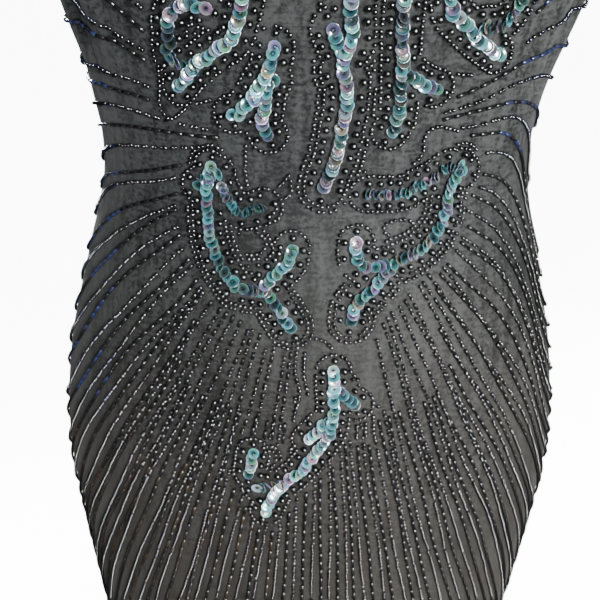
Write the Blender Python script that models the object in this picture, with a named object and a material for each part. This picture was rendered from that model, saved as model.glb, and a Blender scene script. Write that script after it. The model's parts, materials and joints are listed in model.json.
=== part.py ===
"""Sleeveless floor-length evening gown, hollow, with the form it has when it is worn.

The gown is cut as one front and two back panels that meet at the shoulders, at the side
seams and down the centre back, where a concealed zip closes it. Each panel is a wall of
cloth, its edges 0.3 mm from its neighbours. The bodice, waist, hips and skirt follow a
table of level sections, and a second table holds the folds that stand out of the cloth.

Frame: metres, +Z up, the front faces -Y, +X is the wearer's left. The origin lies midway
between the neck ends of the two shoulder seams, where the gown is held up.
"""

import math
from typing import NamedTuple

import bmesh
import bpy
import numpy as np
from mathutils import Matrix, Vector

# Driving dimensions of the cloth.
CLOTH = 0.0016              # thickness of the beaded cloth wall
SEAM_GAP = 0.0003           # clearance between neighbouring pieces
NECK_HALF_WIDTH = 0.092     # centre to the neck end of a shoulder seam
NECK_DROP_FRONT = 0.140     # depth of the neckline, along the cloth at centre front
NECK_DROP_BACK = 0.055      # the same at centre back
NECK_ROUNDNESS = 2.3        # exponent of the neckline's curve
SHOULDER_SLOPE = 0.44       # fall of the shoulder seam for each metre outwards
SHOULDER_EASE = 0.06        # rounds the slope off across the centre line

# Driving dimensions of the zip.
ZIP_SLIT = 0.0020           # parting of the two back panels along the zip
ZIP_END = -0.575            # height at which the slit closes to a plain seam
ZIP_SLIT_RUN = 0.020        # length over which it closes
TAPE_WIDTH = 0.024
TAPE_THICK = 0.0010
TAPE_NOTCH_WIDTH = 0.0032   # opening in the tape for the slider's neck
TAPE_NOTCH_DEPTH = 0.0105   # from the tape's top end
TAPE_TOP_MARGIN = 0.0035    # tape starts this far below the back neck edge
TAPE_GAP = 0.0004           # between the cloth and the tape under it
SLIDER_DROP = 0.0100        # slider's pin below the back neck edge, along the cloth
SLIDER_PLATE = (0.0070, 0.0016, 0.0100)      # inner plate: width, thickness, length
NECK_WIDTH = 0.0012         # slider's neck, across the slit
CROWN_LENGTH = 0.0046       # crown along the cloth
CROWN_RISE = 0.0038         # crown's top above the cloth
CROWN_CHAMFER = 0.45        # cut off the crown's corners, as a share of half its length
PLATE_BEVEL = 0.0004        # rounding of the inner plate's edges
PIN_RISE = 0.0021           # pin's axis above the cloth
CROWN_HOLE = 0.0010         # radius of the crown's hole
HOLE_SIDES = 16
PIN_SIDE = 0.0008           # the pull's pin is a square bar
TAB_LENGTH = 0.0230
TAB_WIDTH = 0.0066
TAB_NECK_WIDTH = 0.0046
TAB_THICK = 0.0008
TAB_WINDOW = (0.0026, 0.0036)                # width and length of the gap round the crown
TAB_ROWS = 8                # steps from the window to the tab's tip
TAB_SWELL_END = 0.77        # share of the tab's length by which it is at its widest
TAB_TIP_START = 0.72        # share at which it starts to round off
TAB_TIP_LEAST = 0.12        # square of the tip's width as a share of the full width
SHARP_ANGLE = 40            # degrees between faces that are shaded as an edge


class Section(NamedTuple):
    """One level section of the gown, in metres from the origin.

    cut_width is the half width at which the cloth ends: the side seam up to the underarm,
    and the armhole's edge above it, where the section's own half width lies further out.
    """

    level: str
    height: float
    half_width: float
    front_depth: float
    back_depth: float
    squareness: float
    cut_width: float
    shoulder: float


SECTIONS = (
    Section("hem", -1.430, 0.206, 0.150, 0.152, 2.00, 0.206, 0.00),
    Section("calf", -1.200, 0.174, 0.127, 0.124, 2.00, 0.174, 0.00),
    Section("knee", -1.000, 0.151, 0.113, 0.108, 2.00, 0.151, 0.00),
    Section("above knee", -0.860, 0.150, 0.114, 0.109, 2.02, 0.150, 0.00),
    Section("thigh", -0.755, 0.157, 0.118, 0.117, 2.05, 0.157, 0.00),
    Section("low hip", -0.670, 0.167, 0.119, 0.126, 2.08, 0.167, 0.00),
    Section("hip", -0.595, 0.174, 0.118, 0.131, 2.10, 0.174, 0.00),
    Section("high hip", -0.520, 0.166, 0.116, 0.121, 2.10, 0.166, 0.00),
    Section("below waist", -0.455, 0.149, 0.109, 0.099, 2.08, 0.149, 0.00),
    Section("waist", -0.398, 0.135, 0.101, 0.081, 2.05, 0.135, 0.00),
    Section("midriff", -0.345, 0.139, 0.108, 0.081, 2.05, 0.139, 0.00),
    Section("under bust", -0.295, 0.151, 0.121, 0.089, 2.08, 0.151, 0.00),
    Section("bust", -0.248, 0.162, 0.130, 0.098, 2.10, 0.162, 0.06),
    Section("underarm", -0.205, 0.168, 0.126, 0.103, 2.12, 0.168, 0.16),
    Section("chest", -0.155, 0.184, 0.112, 0.105, 2.15, 0.159, 0.38),
    Section("high chest", -0.105, 0.190, 0.094, 0.101, 2.20, 0.157, 0.62),
    Section("collarbone", -0.062, 0.196, 0.074, 0.088, 2.25, 0.163, 0.82),
    Section("yoke", -0.030, 0.202, 0.052, 0.064, 2.30, 0.175, 0.94),
    Section("shoulder curve", -0.009, 0.206, 0.027, 0.035, 2.30, 0.185, 1.00),
    Section("shoulder seam", 0.000, 0.208, 0.000, 0.000, 2.30, 0.190, 1.00),
)


class Fold(NamedTuple):
    """A soft ridge (or trough, where its height is negative) that runs down the cloth.

    around is its place: 0 at centre front, 0.5 at the wearer's left side seam, -0.5 at the
    right one, 1 at centre back. lean moves it around from its top to its bottom.
    """

    name: str
    around: float
    lean: float
    top: float
    bottom: float
    half_width: float
    height: float


FOLDS = (
    Fold("right underarm fold", -0.405, 0.030, -0.215, -0.385, 0.040, 0.0038),
    Fold("right bust fold", -0.330, 0.035, -0.225, -0.360, 0.036, 0.0028),
    Fold("left underarm fold", 0.412, -0.022, -0.210, -0.372, 0.042, 0.0036),
    Fold("left bust fold", 0.345, -0.030, -0.230, -0.345, 0.034, 0.0026),
    Fold("back right fold", -0.640, -0.025, -0.230, -0.400, 0.040, 0.0034),
    Fold("back left fold", 0.655, 0.030, -0.225, -0.390, 0.040, 0.0032),
    Fold("front flute", 0.055, 0.015, -0.930, -1.640, 0.095, 0.0125),
    Fold("front right flute", -0.215, -0.020, -0.880, -1.600, 0.085, 0.0105),
    Fold("front left flute", 0.290, 0.020, -0.960, -1.620, 0.090, 0.0115),
    Fold("right side flute", -0.450, -0.010, -0.900, -1.660, 0.100, 0.0120),
    Fold("left side flute", 0.520, 0.015, -0.920, -1.600, 0.090, 0.0110),
    Fold("back right flute", -0.700, -0.015, -0.880, -1.640, 0.095, 0.0120),
    Fold("back left flute", 0.745, 0.010, -0.940, -1.620, 0.085, 0.0105),
    Fold("back flute", -0.930, 0.010, -0.900, -1.600, 0.080, 0.0095),
)

# Rows of the cloth's grid between two named levels, from the hem up.
ROW_RUNS = (("hem", "calf", 5), ("calf", "knee", 4), ("knee", "thigh", 5), ("thigh", "hip", 4),
            ("hip", "waist", 6), ("waist", "underarm", 7))
TOP_ROWS = 9                # from the underarm to the neckline and shoulder seams
NECK_COLUMNS = 6            # centre to the neck point, on each side of a panel
SHOULDER_COLUMNS = 7        # neck point to the armhole
ARC_STEPS = 120             # samples used to measure a section's length


class Finish(NamedTuple):
    """Colour, roughness and metallic value of a material."""

    name: str
    colour: tuple
    roughness: float
    metallic: float


SILK = Finish("black silk", (0.060, 0.060, 0.064), 0.62, 0.0)
TAPE = Finish("black zip tape", (0.020, 0.020, 0.022), 0.80, 0.0)
ZIP_METAL = Finish("dark zip metal", (0.100, 0.100, 0.105), 0.32, 1.0)


class Form:
    """The gown's outer surface, worked out from the table of sections."""

    def __init__(self, sections):
        self.columns = {name: np.array([getattr(row, name) for row in sections])
                        for name in Section._fields if name != "level"}
        rises = np.diff(self.columns["height"])
        swings = np.diff(self.columns["front_depth"])
        self.run = np.concatenate(([0.0], np.cumsum(np.hypot(rises, swings))))
        self.level = {row.level: run for row, run in zip(sections, self.run)}
        self.ridge = self.run[-1]
        self.slopes = {name: np.gradient(table, self.run) for name, table in self.columns.items()}
        self.arcs = {}

    def value(self, name, run):
        """Reads one column at a length up the cloth, on a smooth curve through the table."""
        table, slope = self.columns[name], self.slopes[name]
        i = int(np.clip(np.searchsorted(self.run, run, side="right") - 1, 0, len(table) - 2))
        length = self.run[i + 1] - self.run[i]
        t = (run - self.run[i]) / length
        return ((2 * t**3 - 3 * t**2 + 1) * table[i] + (t**3 - 2 * t**2 + t) * length * slope[i]
                + (3 * t**2 - 2 * t**3) * table[i + 1] + (t**3 - t**2) * length * slope[i + 1])

    def place(self, x, run, facing):
        """Gives the point at a distance x, or at each of several, from the centre line.

        facing is -1 in front and 1 behind.
        """
        x = np.asarray(x, float)
        wide = self.value("half_width", run)
        square = self.value("squareness", run)
        depth = max(0.0, self.value("front_depth" if facing < 0 else "back_depth", run))
        share = np.maximum(0.0, 1.0 - np.abs(x / wide) ** square) ** (1.0 / square)
        y = facing * np.maximum(depth * share, SEAM_GAP / 2)
        fall = self.value("shoulder", run) * SHOULDER_SLOPE
        ease = np.hypot(x, SHOULDER_EASE) - math.hypot(NECK_HALF_WIDTH, SHOULDER_EASE)
        return np.stack((x, y, self.value("height", run) - fall * ease), axis=-1)

    def arc(self, run, facing):
        """Lists widths from centre to cut edge, with the arc length at each as a share."""
        if (run, facing) not in self.arcs:
            wide = self.value("half_width", run)
            square = self.value("squareness", run)
            cut = min(self.value("cut_width", run), wide)
            last = math.asin(min(1.0, (cut / wide) ** (square / 2)))
            widths = wide * np.sin(np.linspace(0.0, last, ARC_STEPS)) ** (2 / square)
            steps = np.diff(self.place(widths, run, facing)[:, :2], axis=0)
            lengths = np.concatenate(([0.0], np.cumsum(np.linalg.norm(steps, axis=1))))
            self.arcs[run, facing] = (widths, lengths / lengths[-1])
        return self.arcs[run, facing]

    def width_at(self, share, run, facing):
        """Gives the distance from the centre line at a share of the half section's length."""
        widths, lengths = self.arc(run, facing)
        return float(np.interp(share, lengths, widths))


def fold_height(around, height):
    """Sums the folds at a place on the cloth."""
    total = 0.0
    for fold in FOLDS:
        share = (fold.top - height) / (fold.top - fold.bottom)
        if not 0.0 < share < 1.0:
            continue
        offset = abs((around - fold.around - fold.lean * share + 1.0) % 2.0 - 1.0)
        if offset < fold.half_width:
            crest = math.cos(math.pi / 2 * offset / fold.half_width) ** 2
            total += fold.height * crest * math.sin(math.pi * share) ** 2
    return total


def slit_half_width(height):
    """Gives half the parting of the back panels: the zip's slit above, a seam below it."""
    share = np.clip((height - ZIP_END) / ZIP_SLIT_RUN, 0.0, 1.0)
    return SEAM_GAP / 2 + share * (ZIP_SLIT - SEAM_GAP) / 2


def column_shares():
    """Lists the grid's columns from the centre out, as shares of the half section."""
    neck = NECK_HALF_WIDTH / SECTIONS[-1].cut_width
    inner = np.linspace(0.0, neck, NECK_COLUMNS + 1)
    outer = np.linspace(neck, 1.0, SHOULDER_COLUMNS + 1)
    return list(inner) + list(outer[1:])


def row_runs(form, share, neck_drop):
    """Lists a column's rows, as lengths up the cloth from the hem to its upper edge."""
    runs = [0.0]
    for low, high, count in ROW_RUNS:
        runs += list(np.linspace(form.level[low], form.level[high], count + 1)[1:])
    neck = NECK_HALF_WIDTH / SECTIONS[-1].cut_width
    drop = neck_drop * (1.0 - min(share / neck, 1.0) ** NECK_ROUNDNESS)
    top = np.linspace(form.level["underarm"], form.ridge - drop, TOP_ROWS + 1)
    return runs + list(top[1:])


def panel_grid(form, facing, neck_drop, sides):
    """Works out a panel's outer points. sides lists the signs of x that it covers."""
    shares = column_shares()
    signed = [(share, sides[-1]) for share in shares]
    if len(sides) == 2:
        signed = [(share, sides[0]) for share in reversed(shares[1:])] + signed
    rows = [row_runs(form, share, neck_drop) for share, _ in signed]
    grid = np.zeros((len(signed), len(rows[0]), 3))
    for i, (share, sign) in enumerate(signed):
        for j, run in enumerate(rows[i]):
            x = form.width_at(share, run, facing)
            if len(sides) == 1:
                x = max(x, slit_half_width(form.value("height", run)))
            grid[i, j] = form.place(sign * x, run, facing)
    return grid, signed


def grid_normals(grid, facing):
    """Gives each grid point's outward direction, level with the seams at the edges."""
    across = np.gradient(grid, axis=0)
    along = np.gradient(grid, axis=1)
    normals = np.cross(across, along)
    normals /= np.linalg.norm(normals, axis=2, keepdims=True)
    middle = normals[grid.shape[0] // 2, grid.shape[1] // 3]
    if middle[1] * facing < 0:
        normals = -normals
    on_seam = np.abs(grid[:, :, 1]) < SEAM_GAP
    normals[on_seam, 1] = 0.0
    on_slit = np.abs(grid[:, :, 0]) <= ZIP_SLIT / 2 + SEAM_GAP
    normals[on_slit, 0] = 0.0
    return normals / np.linalg.norm(normals, axis=2, keepdims=True)


def folded(grid, normals, signed, facing):
    """Moves the outer points out by the folds."""
    result = grid.copy()
    for i, (share, sign) in enumerate(signed):
        around = sign * share / 2 if facing < 0 else sign * (1.0 - share / 2)
        for j in range(grid.shape[1]):
            result[i, j] += fold_height(around, grid[i, j, 2]) * normals[i, j]
    return result


def wall_mesh(name, outer, inner, cells=None):
    """Closes a wall between two grids of points. cells says which of the quads exist."""
    wide, tall = outer.shape[:2]
    present = np.ones((wide - 1, tall - 1), bool) if cells is None else cells
    mesh = bmesh.new()
    points = {}

    def vertex(layer, i, j):
        key = (layer, i, j)
        if key not in points:
            points[key] = mesh.verts.new((outer if layer else inner)[i, j])
        return points[key]

    def filled(i, j):
        return 0 <= i < wide - 1 and 0 <= j < tall - 1 and present[i, j]

    for i in range(wide - 1):
        for j in range(tall - 1):
            if not present[i, j]:
                continue
            corners = ((i, j), (i + 1, j), (i + 1, j + 1), (i, j + 1))
            mesh.faces.new([vertex(1, *corner) for corner in corners])
            mesh.faces.new([vertex(0, *corner) for corner in reversed(corners)])
            beyond = ((i, j - 1), (i + 1, j), (i, j + 1), (i - 1, j))
            for k, cell in enumerate(beyond):
                if not filled(*cell):
                    start, end = corners[k], corners[(k + 1) % 4]
                    mesh.faces.new((vertex(1, *end), vertex(1, *start),
                                    vertex(0, *start), vertex(0, *end)))
    if mesh.calc_volume(signed=True) < 0.0:
        bmesh.ops.reverse_faces(mesh, faces=mesh.faces)
    data = bpy.data.meshes.new(name)
    mesh.to_mesh(data)
    mesh.free()
    return data


def make_object(name, data, finish, location=(0.0, 0.0, 0.0)):
    """Adds a named object with its own material, shaded smooth but for its sharp edges."""
    thing = bpy.data.objects.new(name, data)
    bpy.context.scene.collection.objects.link(thing)
    thing.location = location
    material = bpy.data.materials.new(finish.name + " of " + name)
    material.use_nodes = True
    shader = material.node_tree.nodes["Principled BSDF"]
    shader.inputs["Base Color"].default_value = (*finish.colour, 1.0)
    shader.inputs["Roughness"].default_value = finish.roughness
    shader.inputs["Metallic"].default_value = finish.metallic
    data.materials.append(material)
    data.shade_smooth()
    data.set_sharp_from_angle(angle=math.radians(SHARP_ANGLE))
    return thing


class Panel(NamedTuple):
    """A panel's object and the grids that its wall was made from."""

    thing: bpy.types.Object
    outer: np.ndarray
    inner: np.ndarray
    normals: np.ndarray


def build_panel(form, name, facing, neck_drop, sides):
    """Cuts one panel of the gown as a wall with its folds in both faces."""
    grid, signed = panel_grid(form, facing, neck_drop, sides)
    normals = grid_normals(grid, facing)
    outer = folded(grid, normals, signed, facing)
    inner = outer - CLOTH * normals
    thing = make_object(name, wall_mesh(name, outer, inner), SILK)
    return Panel(thing, outer, inner, normals)


def row_between(points, lengths, length):
    """Reads a column of points at a length down it, straight between its rows."""
    return np.array([np.interp(length, lengths, points[:, axis]) for axis in range(3)])


def centre_back_lengths(panel):
    """Measures down the panel's centre edge from the neck to each of its rows."""
    edge = panel.outer[0, ::-1]
    steps = np.linalg.norm(np.diff(edge, axis=0), axis=1)
    return np.concatenate(([0.0], np.cumsum(steps)))


def build_tape(panel):
    """Lays the zip's tape under the back panels' points, notched round the slider's neck."""
    lengths = centre_back_lengths(panel)
    heights = panel.outer[0, ::-1, 2]
    bottom = float(np.interp(ZIP_SLIT_RUN - ZIP_END, -heights, lengths))
    notch_end = TAPE_TOP_MARGIN + TAPE_NOTCH_DEPTH
    stops = [bottom] + [length for length in lengths[::-1] if notch_end < length < bottom]
    stops += [notch_end, TAPE_TOP_MARGIN]
    inside, normals = panel.inner[:, ::-1], panel.normals[:, ::-1]
    widths = (-TAPE_WIDTH / 2, -TAPE_NOTCH_WIDTH / 2, TAPE_NOTCH_WIDTH / 2, TAPE_WIDTH / 2)
    outer = np.zeros((len(widths), len(stops), 3))
    inner = np.zeros_like(outer)
    for j, stop in enumerate(stops):
        near = row_between(inside[0], lengths, stop)
        far = row_between(inside[1], lengths, stop)
        normal = row_between(normals[0], lengths, stop)
        for i, x in enumerate(widths):
            point = near + (far - near) * (abs(x) - near[0]) / (far[0] - near[0])
            point[0] = x
            outer[i, j] = point - TAPE_GAP * normal
            inner[i, j] = outer[i, j] - TAPE_THICK * normal
    cells = np.ones((len(widths) - 1, len(stops) - 1), bool)
    cells[1, -1] = False
    return make_object("zip_tape", wall_mesh("zip_tape", outer, inner, cells), TAPE)


def ring_profile(radius, count):
    """Lists the points of a circle about the origin of the profile's plane."""
    turns = [2 * math.pi * i / count for i in range(count)]
    return [(radius * math.cos(turn), radius * math.sin(turn)) for turn in turns]


def prism(name, profile, width):
    """Extrudes a profile of (outwards, upwards) points evenly to both sides along X."""
    mesh = bmesh.new()
    near = [mesh.verts.new((-width / 2, out, up)) for out, up in profile]
    face = mesh.faces.new(near)
    pushed = bmesh.ops.extrude_face_region(mesh, geom=[face])
    moved = [item for item in pushed["geom"] if isinstance(item, bmesh.types.BMVert)]
    bmesh.ops.translate(mesh, verts=moved, vec=(width, 0.0, 0.0))
    if mesh.calc_volume(signed=True) < 0.0:
        bmesh.ops.reverse_faces(mesh, faces=mesh.faces)
    data = bpy.data.meshes.new(name)
    mesh.to_mesh(data)
    mesh.free()
    return data


def helper_object(name, data, host, operation):
    """Adds a hidden shape and joins it to, or cuts it from, its host."""
    thing = bpy.data.objects.new(name, data)
    bpy.context.scene.collection.objects.link(thing)
    thing.hide_render = True
    thing.display_type = "WIRE"
    thing.matrix_world = host.matrix_world
    change = host.modifiers.new(name, "BOOLEAN")
    change.operation = operation
    change.solver = "EXACT"
    change.object = thing
    return thing


def slider_matrix(panel):
    """Places the slider's own axes: its pin at the origin, Y out of the cloth, Z up it."""
    edge = panel.outer[0, ::-1]
    up = edge[0] - edge[1]
    up = np.array((0.0, up[1], up[2])) / math.hypot(up[1], up[2])
    out = np.array((0.0, up[2], -up[1]))
    here = edge[0] - SLIDER_DROP * up
    here[0] = 0.0
    axes = Matrix((Vector((1.0, 0.0, 0.0)), Vector(out), Vector(up))).transposed().to_4x4()
    pin = Vector(here + PIN_RISE * out)
    return Matrix.Translation(pin) @ axes, pin


def build_slider(place):
    """Builds the slider: an inner plate, a neck through the slit and a crown with a hole."""
    width, thick, length = SLIDER_PLATE
    plate_top = -PIN_RISE - CLOTH - TAPE_GAP - TAPE_THICK - TAPE_GAP
    plate = prism("zip_slider", [(plate_top - thick, -length / 2), (plate_top, -length / 2),
                                 (plate_top, length / 2), (plate_top - thick, length / 2)], width)
    slider = make_object("zip_slider", plate, ZIP_METAL)
    slider.matrix_world = place
    bevel = slider.modifiers.new("rounded plate", "BEVEL")
    bevel.width = PLATE_BEVEL
    bevel.segments = 1
    half = CROWN_LENGTH / 2
    rise = CROWN_RISE - PIN_RISE
    corner = half * CROWN_CHAMFER
    crown = prism("zip_crown", [(plate_top - thick / 2, -half), (rise - corner, -half),
                                (rise, -half + corner), (rise, half - corner),
                                (rise - corner, half), (plate_top - thick / 2, half)], NECK_WIDTH)
    helper_object("zip_crown", crown, slider, "UNION")
    hole = prism("zip_crown_hole", ring_profile(CROWN_HOLE, HOLE_SIDES), 3 * NECK_WIDTH)
    helper_object("zip_crown_hole", hole, slider, "DIFFERENCE")
    return slider


def build_pull(place, pin):
    """Builds the pull: a pin through the crown, two arms and a long tear-shaped tab."""
    gap_width, gap_length = TAB_WINDOW
    rows = [PIN_SIDE / 2, -PIN_SIDE / 2, -PIN_SIDE / 2 - gap_length]
    halves = [TAB_NECK_WIDTH / 2] * 3
    for k in range(1, TAB_ROWS + 1):
        share = k / TAB_ROWS
        rows.append(rows[2] - share * (TAB_LENGTH - gap_length))
        swell = math.sin(math.pi / 2 * min(1.0, share / TAB_SWELL_END))
        tip = max(0.0, share - TAB_TIP_START) / (1.0 - TAB_TIP_START)
        width = TAB_NECK_WIDTH + (TAB_WIDTH - TAB_NECK_WIDTH) * swell
        halves.append(width / 2 * math.sqrt(max(TAB_TIP_LEAST, 1.0 - tip**2)))
    outer = np.zeros((4, len(rows), 3))
    for j, (up, half) in enumerate(zip(rows, halves)):
        for i, x in enumerate((-half, -gap_width / 2, gap_width / 2, half)):
            outer[i, j] = (x, TAB_THICK / 2, up)
    inner = outer - np.array((0.0, TAB_THICK, 0.0))
    cells = np.ones((3, len(rows) - 1), bool)
    cells[1, 1] = False
    data = wall_mesh("zip_pull", outer, inner, cells)
    turn = place.to_3x3().to_4x4()
    data.transform(turn)
    return make_object("zip_pull", data, ZIP_METAL, location=pin)


def main():
    """Builds the gown's pieces."""
    for thing in list(bpy.data.objects):
        bpy.data.objects.remove(thing, do_unlink=True)
    form = Form(SECTIONS)
    build_panel(form, "front", -1, NECK_DROP_FRONT, (-1, 1))
    build_panel(form, "back_right", 1, NECK_DROP_BACK, (-1,))
    back_left = build_panel(form, "back_left", 1, NECK_DROP_BACK, (1,))
    build_tape(back_left)
    place, pin = slider_matrix(back_left)
    build_slider(place)
    build_pull(place, pin)


main()
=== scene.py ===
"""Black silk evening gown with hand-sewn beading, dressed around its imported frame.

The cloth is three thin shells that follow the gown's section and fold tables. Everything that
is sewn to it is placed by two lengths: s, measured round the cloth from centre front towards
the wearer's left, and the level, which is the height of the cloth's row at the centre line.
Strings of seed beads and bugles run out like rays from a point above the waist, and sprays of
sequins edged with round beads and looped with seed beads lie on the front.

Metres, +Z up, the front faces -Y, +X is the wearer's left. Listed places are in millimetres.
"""

import json
import logging
import math
from dataclasses import dataclass, field
from enum import Enum
from typing import Optional, Sequence

import bmesh
import bpy
import numpy as np
from mathutils import Matrix, Vector

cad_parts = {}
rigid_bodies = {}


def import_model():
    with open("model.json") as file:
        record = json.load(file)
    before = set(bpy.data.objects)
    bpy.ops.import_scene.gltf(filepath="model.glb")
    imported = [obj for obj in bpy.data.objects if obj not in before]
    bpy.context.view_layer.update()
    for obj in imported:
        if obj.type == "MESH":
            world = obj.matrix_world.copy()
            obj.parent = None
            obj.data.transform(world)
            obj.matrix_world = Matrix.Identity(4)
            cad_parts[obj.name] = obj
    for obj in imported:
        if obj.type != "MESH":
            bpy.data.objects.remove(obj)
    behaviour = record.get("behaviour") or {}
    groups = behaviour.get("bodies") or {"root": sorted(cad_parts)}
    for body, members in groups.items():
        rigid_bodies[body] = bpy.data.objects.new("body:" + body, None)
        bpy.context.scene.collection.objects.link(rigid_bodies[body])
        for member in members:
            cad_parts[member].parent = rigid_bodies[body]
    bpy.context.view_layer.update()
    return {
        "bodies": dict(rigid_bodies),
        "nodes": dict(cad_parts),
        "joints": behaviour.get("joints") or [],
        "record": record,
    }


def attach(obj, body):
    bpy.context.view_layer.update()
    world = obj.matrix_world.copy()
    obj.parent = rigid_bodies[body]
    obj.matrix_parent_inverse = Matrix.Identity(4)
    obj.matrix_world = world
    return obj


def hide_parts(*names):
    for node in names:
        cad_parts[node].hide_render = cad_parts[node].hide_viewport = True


log = logging.getLogger("gown")

MM = 0.001
SEED = 1711
NECK_HALF_WIDTH = 0.092
NECK_SHARE = NECK_HALF_WIDTH / 0.190    # the neck point's share of the half section's length
NECK_DROP = {-1: 0.140, 1: 0.055}       # front and back, along the cloth
NECK_ROUNDNESS = 2.3
SHOULDER_SLOPE = 0.44                   # fall of the shoulder seam for each metre outwards
SHOULDER_EASE = 0.06
SEAM_LAP = 0.0004                       # overlap of two cloths in a sewn seam
ZIP_SLIT = 0.0020                       # parting of the back panels along the zip
ZIP_END = -0.575                        # level at which the slit closes to a seam
ZIP_SLIT_RUN = 0.020                    # length over which it closes
ARC_STEPS = 120
UNDERARM = -0.205
TINY = 1e-9


@dataclass(frozen=True)
class Section:
    """One level section of the gown, as in the part's source."""

    height: float
    half_width: float
    front_depth: float
    back_depth: float
    squareness: float
    cut_width: float
    shoulder: float


SECTIONS = tuple(Section(*row) for row in (
    (-1.430, 0.206, 0.150, 0.152, 2.00, 0.206, 0.00),
    (-1.200, 0.174, 0.127, 0.124, 2.00, 0.174, 0.00),
    (-1.000, 0.151, 0.113, 0.108, 2.00, 0.151, 0.00),
    (-0.860, 0.150, 0.114, 0.109, 2.02, 0.150, 0.00),
    (-0.755, 0.157, 0.118, 0.117, 2.05, 0.157, 0.00),
    (-0.670, 0.167, 0.119, 0.126, 2.08, 0.167, 0.00),
    (-0.595, 0.174, 0.118, 0.131, 2.10, 0.174, 0.00),
    (-0.520, 0.166, 0.116, 0.121, 2.10, 0.166, 0.00),
    (-0.455, 0.149, 0.109, 0.099, 2.08, 0.149, 0.00),
    (-0.398, 0.135, 0.101, 0.081, 2.05, 0.135, 0.00),
    (-0.345, 0.139, 0.108, 0.081, 2.05, 0.139, 0.00),
    (-0.295, 0.151, 0.121, 0.089, 2.08, 0.151, 0.00),
    (-0.248, 0.162, 0.130, 0.098, 2.10, 0.162, 0.06),
    (-0.205, 0.168, 0.126, 0.103, 2.12, 0.168, 0.16),
    (-0.155, 0.184, 0.112, 0.105, 2.15, 0.159, 0.38),
    (-0.105, 0.190, 0.094, 0.101, 2.20, 0.157, 0.62),
    (-0.062, 0.196, 0.074, 0.088, 2.25, 0.163, 0.82),
    (-0.030, 0.202, 0.052, 0.064, 2.30, 0.175, 0.94),
    (-0.009, 0.206, 0.027, 0.035, 2.30, 0.185, 1.00),
    (0.000, 0.208, 0.000, 0.000, 2.30, 0.190, 1.00),
))


@dataclass(frozen=True)
class Fold:
    """A soft ridge, or a trough where its height is negative, that runs down the cloth.

    around is 0 at centre front, 0.5 at the wearer's left side seam and 1 at centre back.
    """

    around: float
    lean: float
    top: float
    bottom: float
    half_width: float
    height: float


# The part's own folds: bust and underarm folds, back folds and the skirt's flutes.
FOLDS = tuple(Fold(*row) for row in (
    (-0.405, 0.030, -0.215, -0.385, 0.040, 0.0038),
    (-0.330, 0.035, -0.225, -0.360, 0.036, 0.0028),
    (0.412, -0.022, -0.210, -0.372, 0.042, 0.0036),
    (0.345, -0.030, -0.230, -0.345, 0.034, 0.0026),
    (-0.640, -0.025, -0.230, -0.400, 0.040, 0.0034),
    (0.655, 0.030, -0.225, -0.390, 0.040, 0.0032),
    (0.055, 0.015, -0.930, -1.640, 0.095, 0.0125),
    (-0.215, -0.020, -0.880, -1.600, 0.085, 0.0105),
    (0.290, 0.020, -0.960, -1.620, 0.090, 0.0115),
    (-0.450, -0.010, -0.900, -1.660, 0.100, 0.0120),
    (0.520, 0.015, -0.920, -1.600, 0.090, 0.0110),
    (-0.700, -0.015, -0.880, -1.640, 0.095, 0.0120),
    (0.745, 0.010, -0.940, -1.620, 0.085, 0.0105),
    (-0.930, 0.010, -0.900, -1.600, 0.080, 0.0095),
))
# Finer creases, placed on every side, uneven in length, depth and lean.
CREASES = tuple(Fold(*row) for row in (
    (-0.452, 0.020, -0.235, -0.400, 0.013, -0.0022),
    (-0.372, 0.026, -0.240, -0.372, 0.011, -0.0017),
    (-0.428, 0.034, -0.290, -0.430, 0.010, 0.0013),
    (-0.470, 0.012, -0.330, -0.455, 0.012, -0.0014),
    (0.448, -0.018, -0.225, -0.392, 0.012, -0.0021),
    (0.382, -0.024, -0.245, -0.352, 0.010, -0.0015),
    (0.465, -0.014, -0.345, -0.470, 0.012, 0.0012),
    (0.300, -0.030, -0.262, -0.345, 0.012, -0.0010),
    (-0.290, 0.022, -0.270, -0.350, 0.011, -0.0009),
    (-0.560, -0.014, -0.240, -0.395, 0.014, -0.0020),
    (0.575, 0.018, -0.235, -0.410, 0.013, -0.0019),
    (-0.700, -0.010, -0.300, -0.420, 0.014, -0.0016),
    (0.725, 0.014, -0.290, -0.430, 0.014, -0.0015),
    (-0.820, 0.012, -0.350, -0.450, 0.012, 0.0012),
    (0.860, -0.010, -0.340, -0.455, 0.012, 0.0011),
    (-0.130, 0.010, -0.820, -1.240, 0.018, -0.0020),
    (0.160, -0.012, -0.850, -1.330, 0.020, -0.0024),
    (-0.340, 0.014, -0.800, -1.180, 0.018, -0.0018),
    (0.400, 0.010, -0.830, -1.380, 0.018, -0.0022),
    (-0.580, -0.012, -0.790, -1.250, 0.018, -0.0022),
    (0.640, 0.012, -0.810, -1.310, 0.018, -0.0020),
    (-0.815, 0.010, -0.740, -1.200, 0.020, -0.0020),
    (0.850, -0.010, -0.760, -1.290, 0.018, -0.0021),
))


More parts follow.
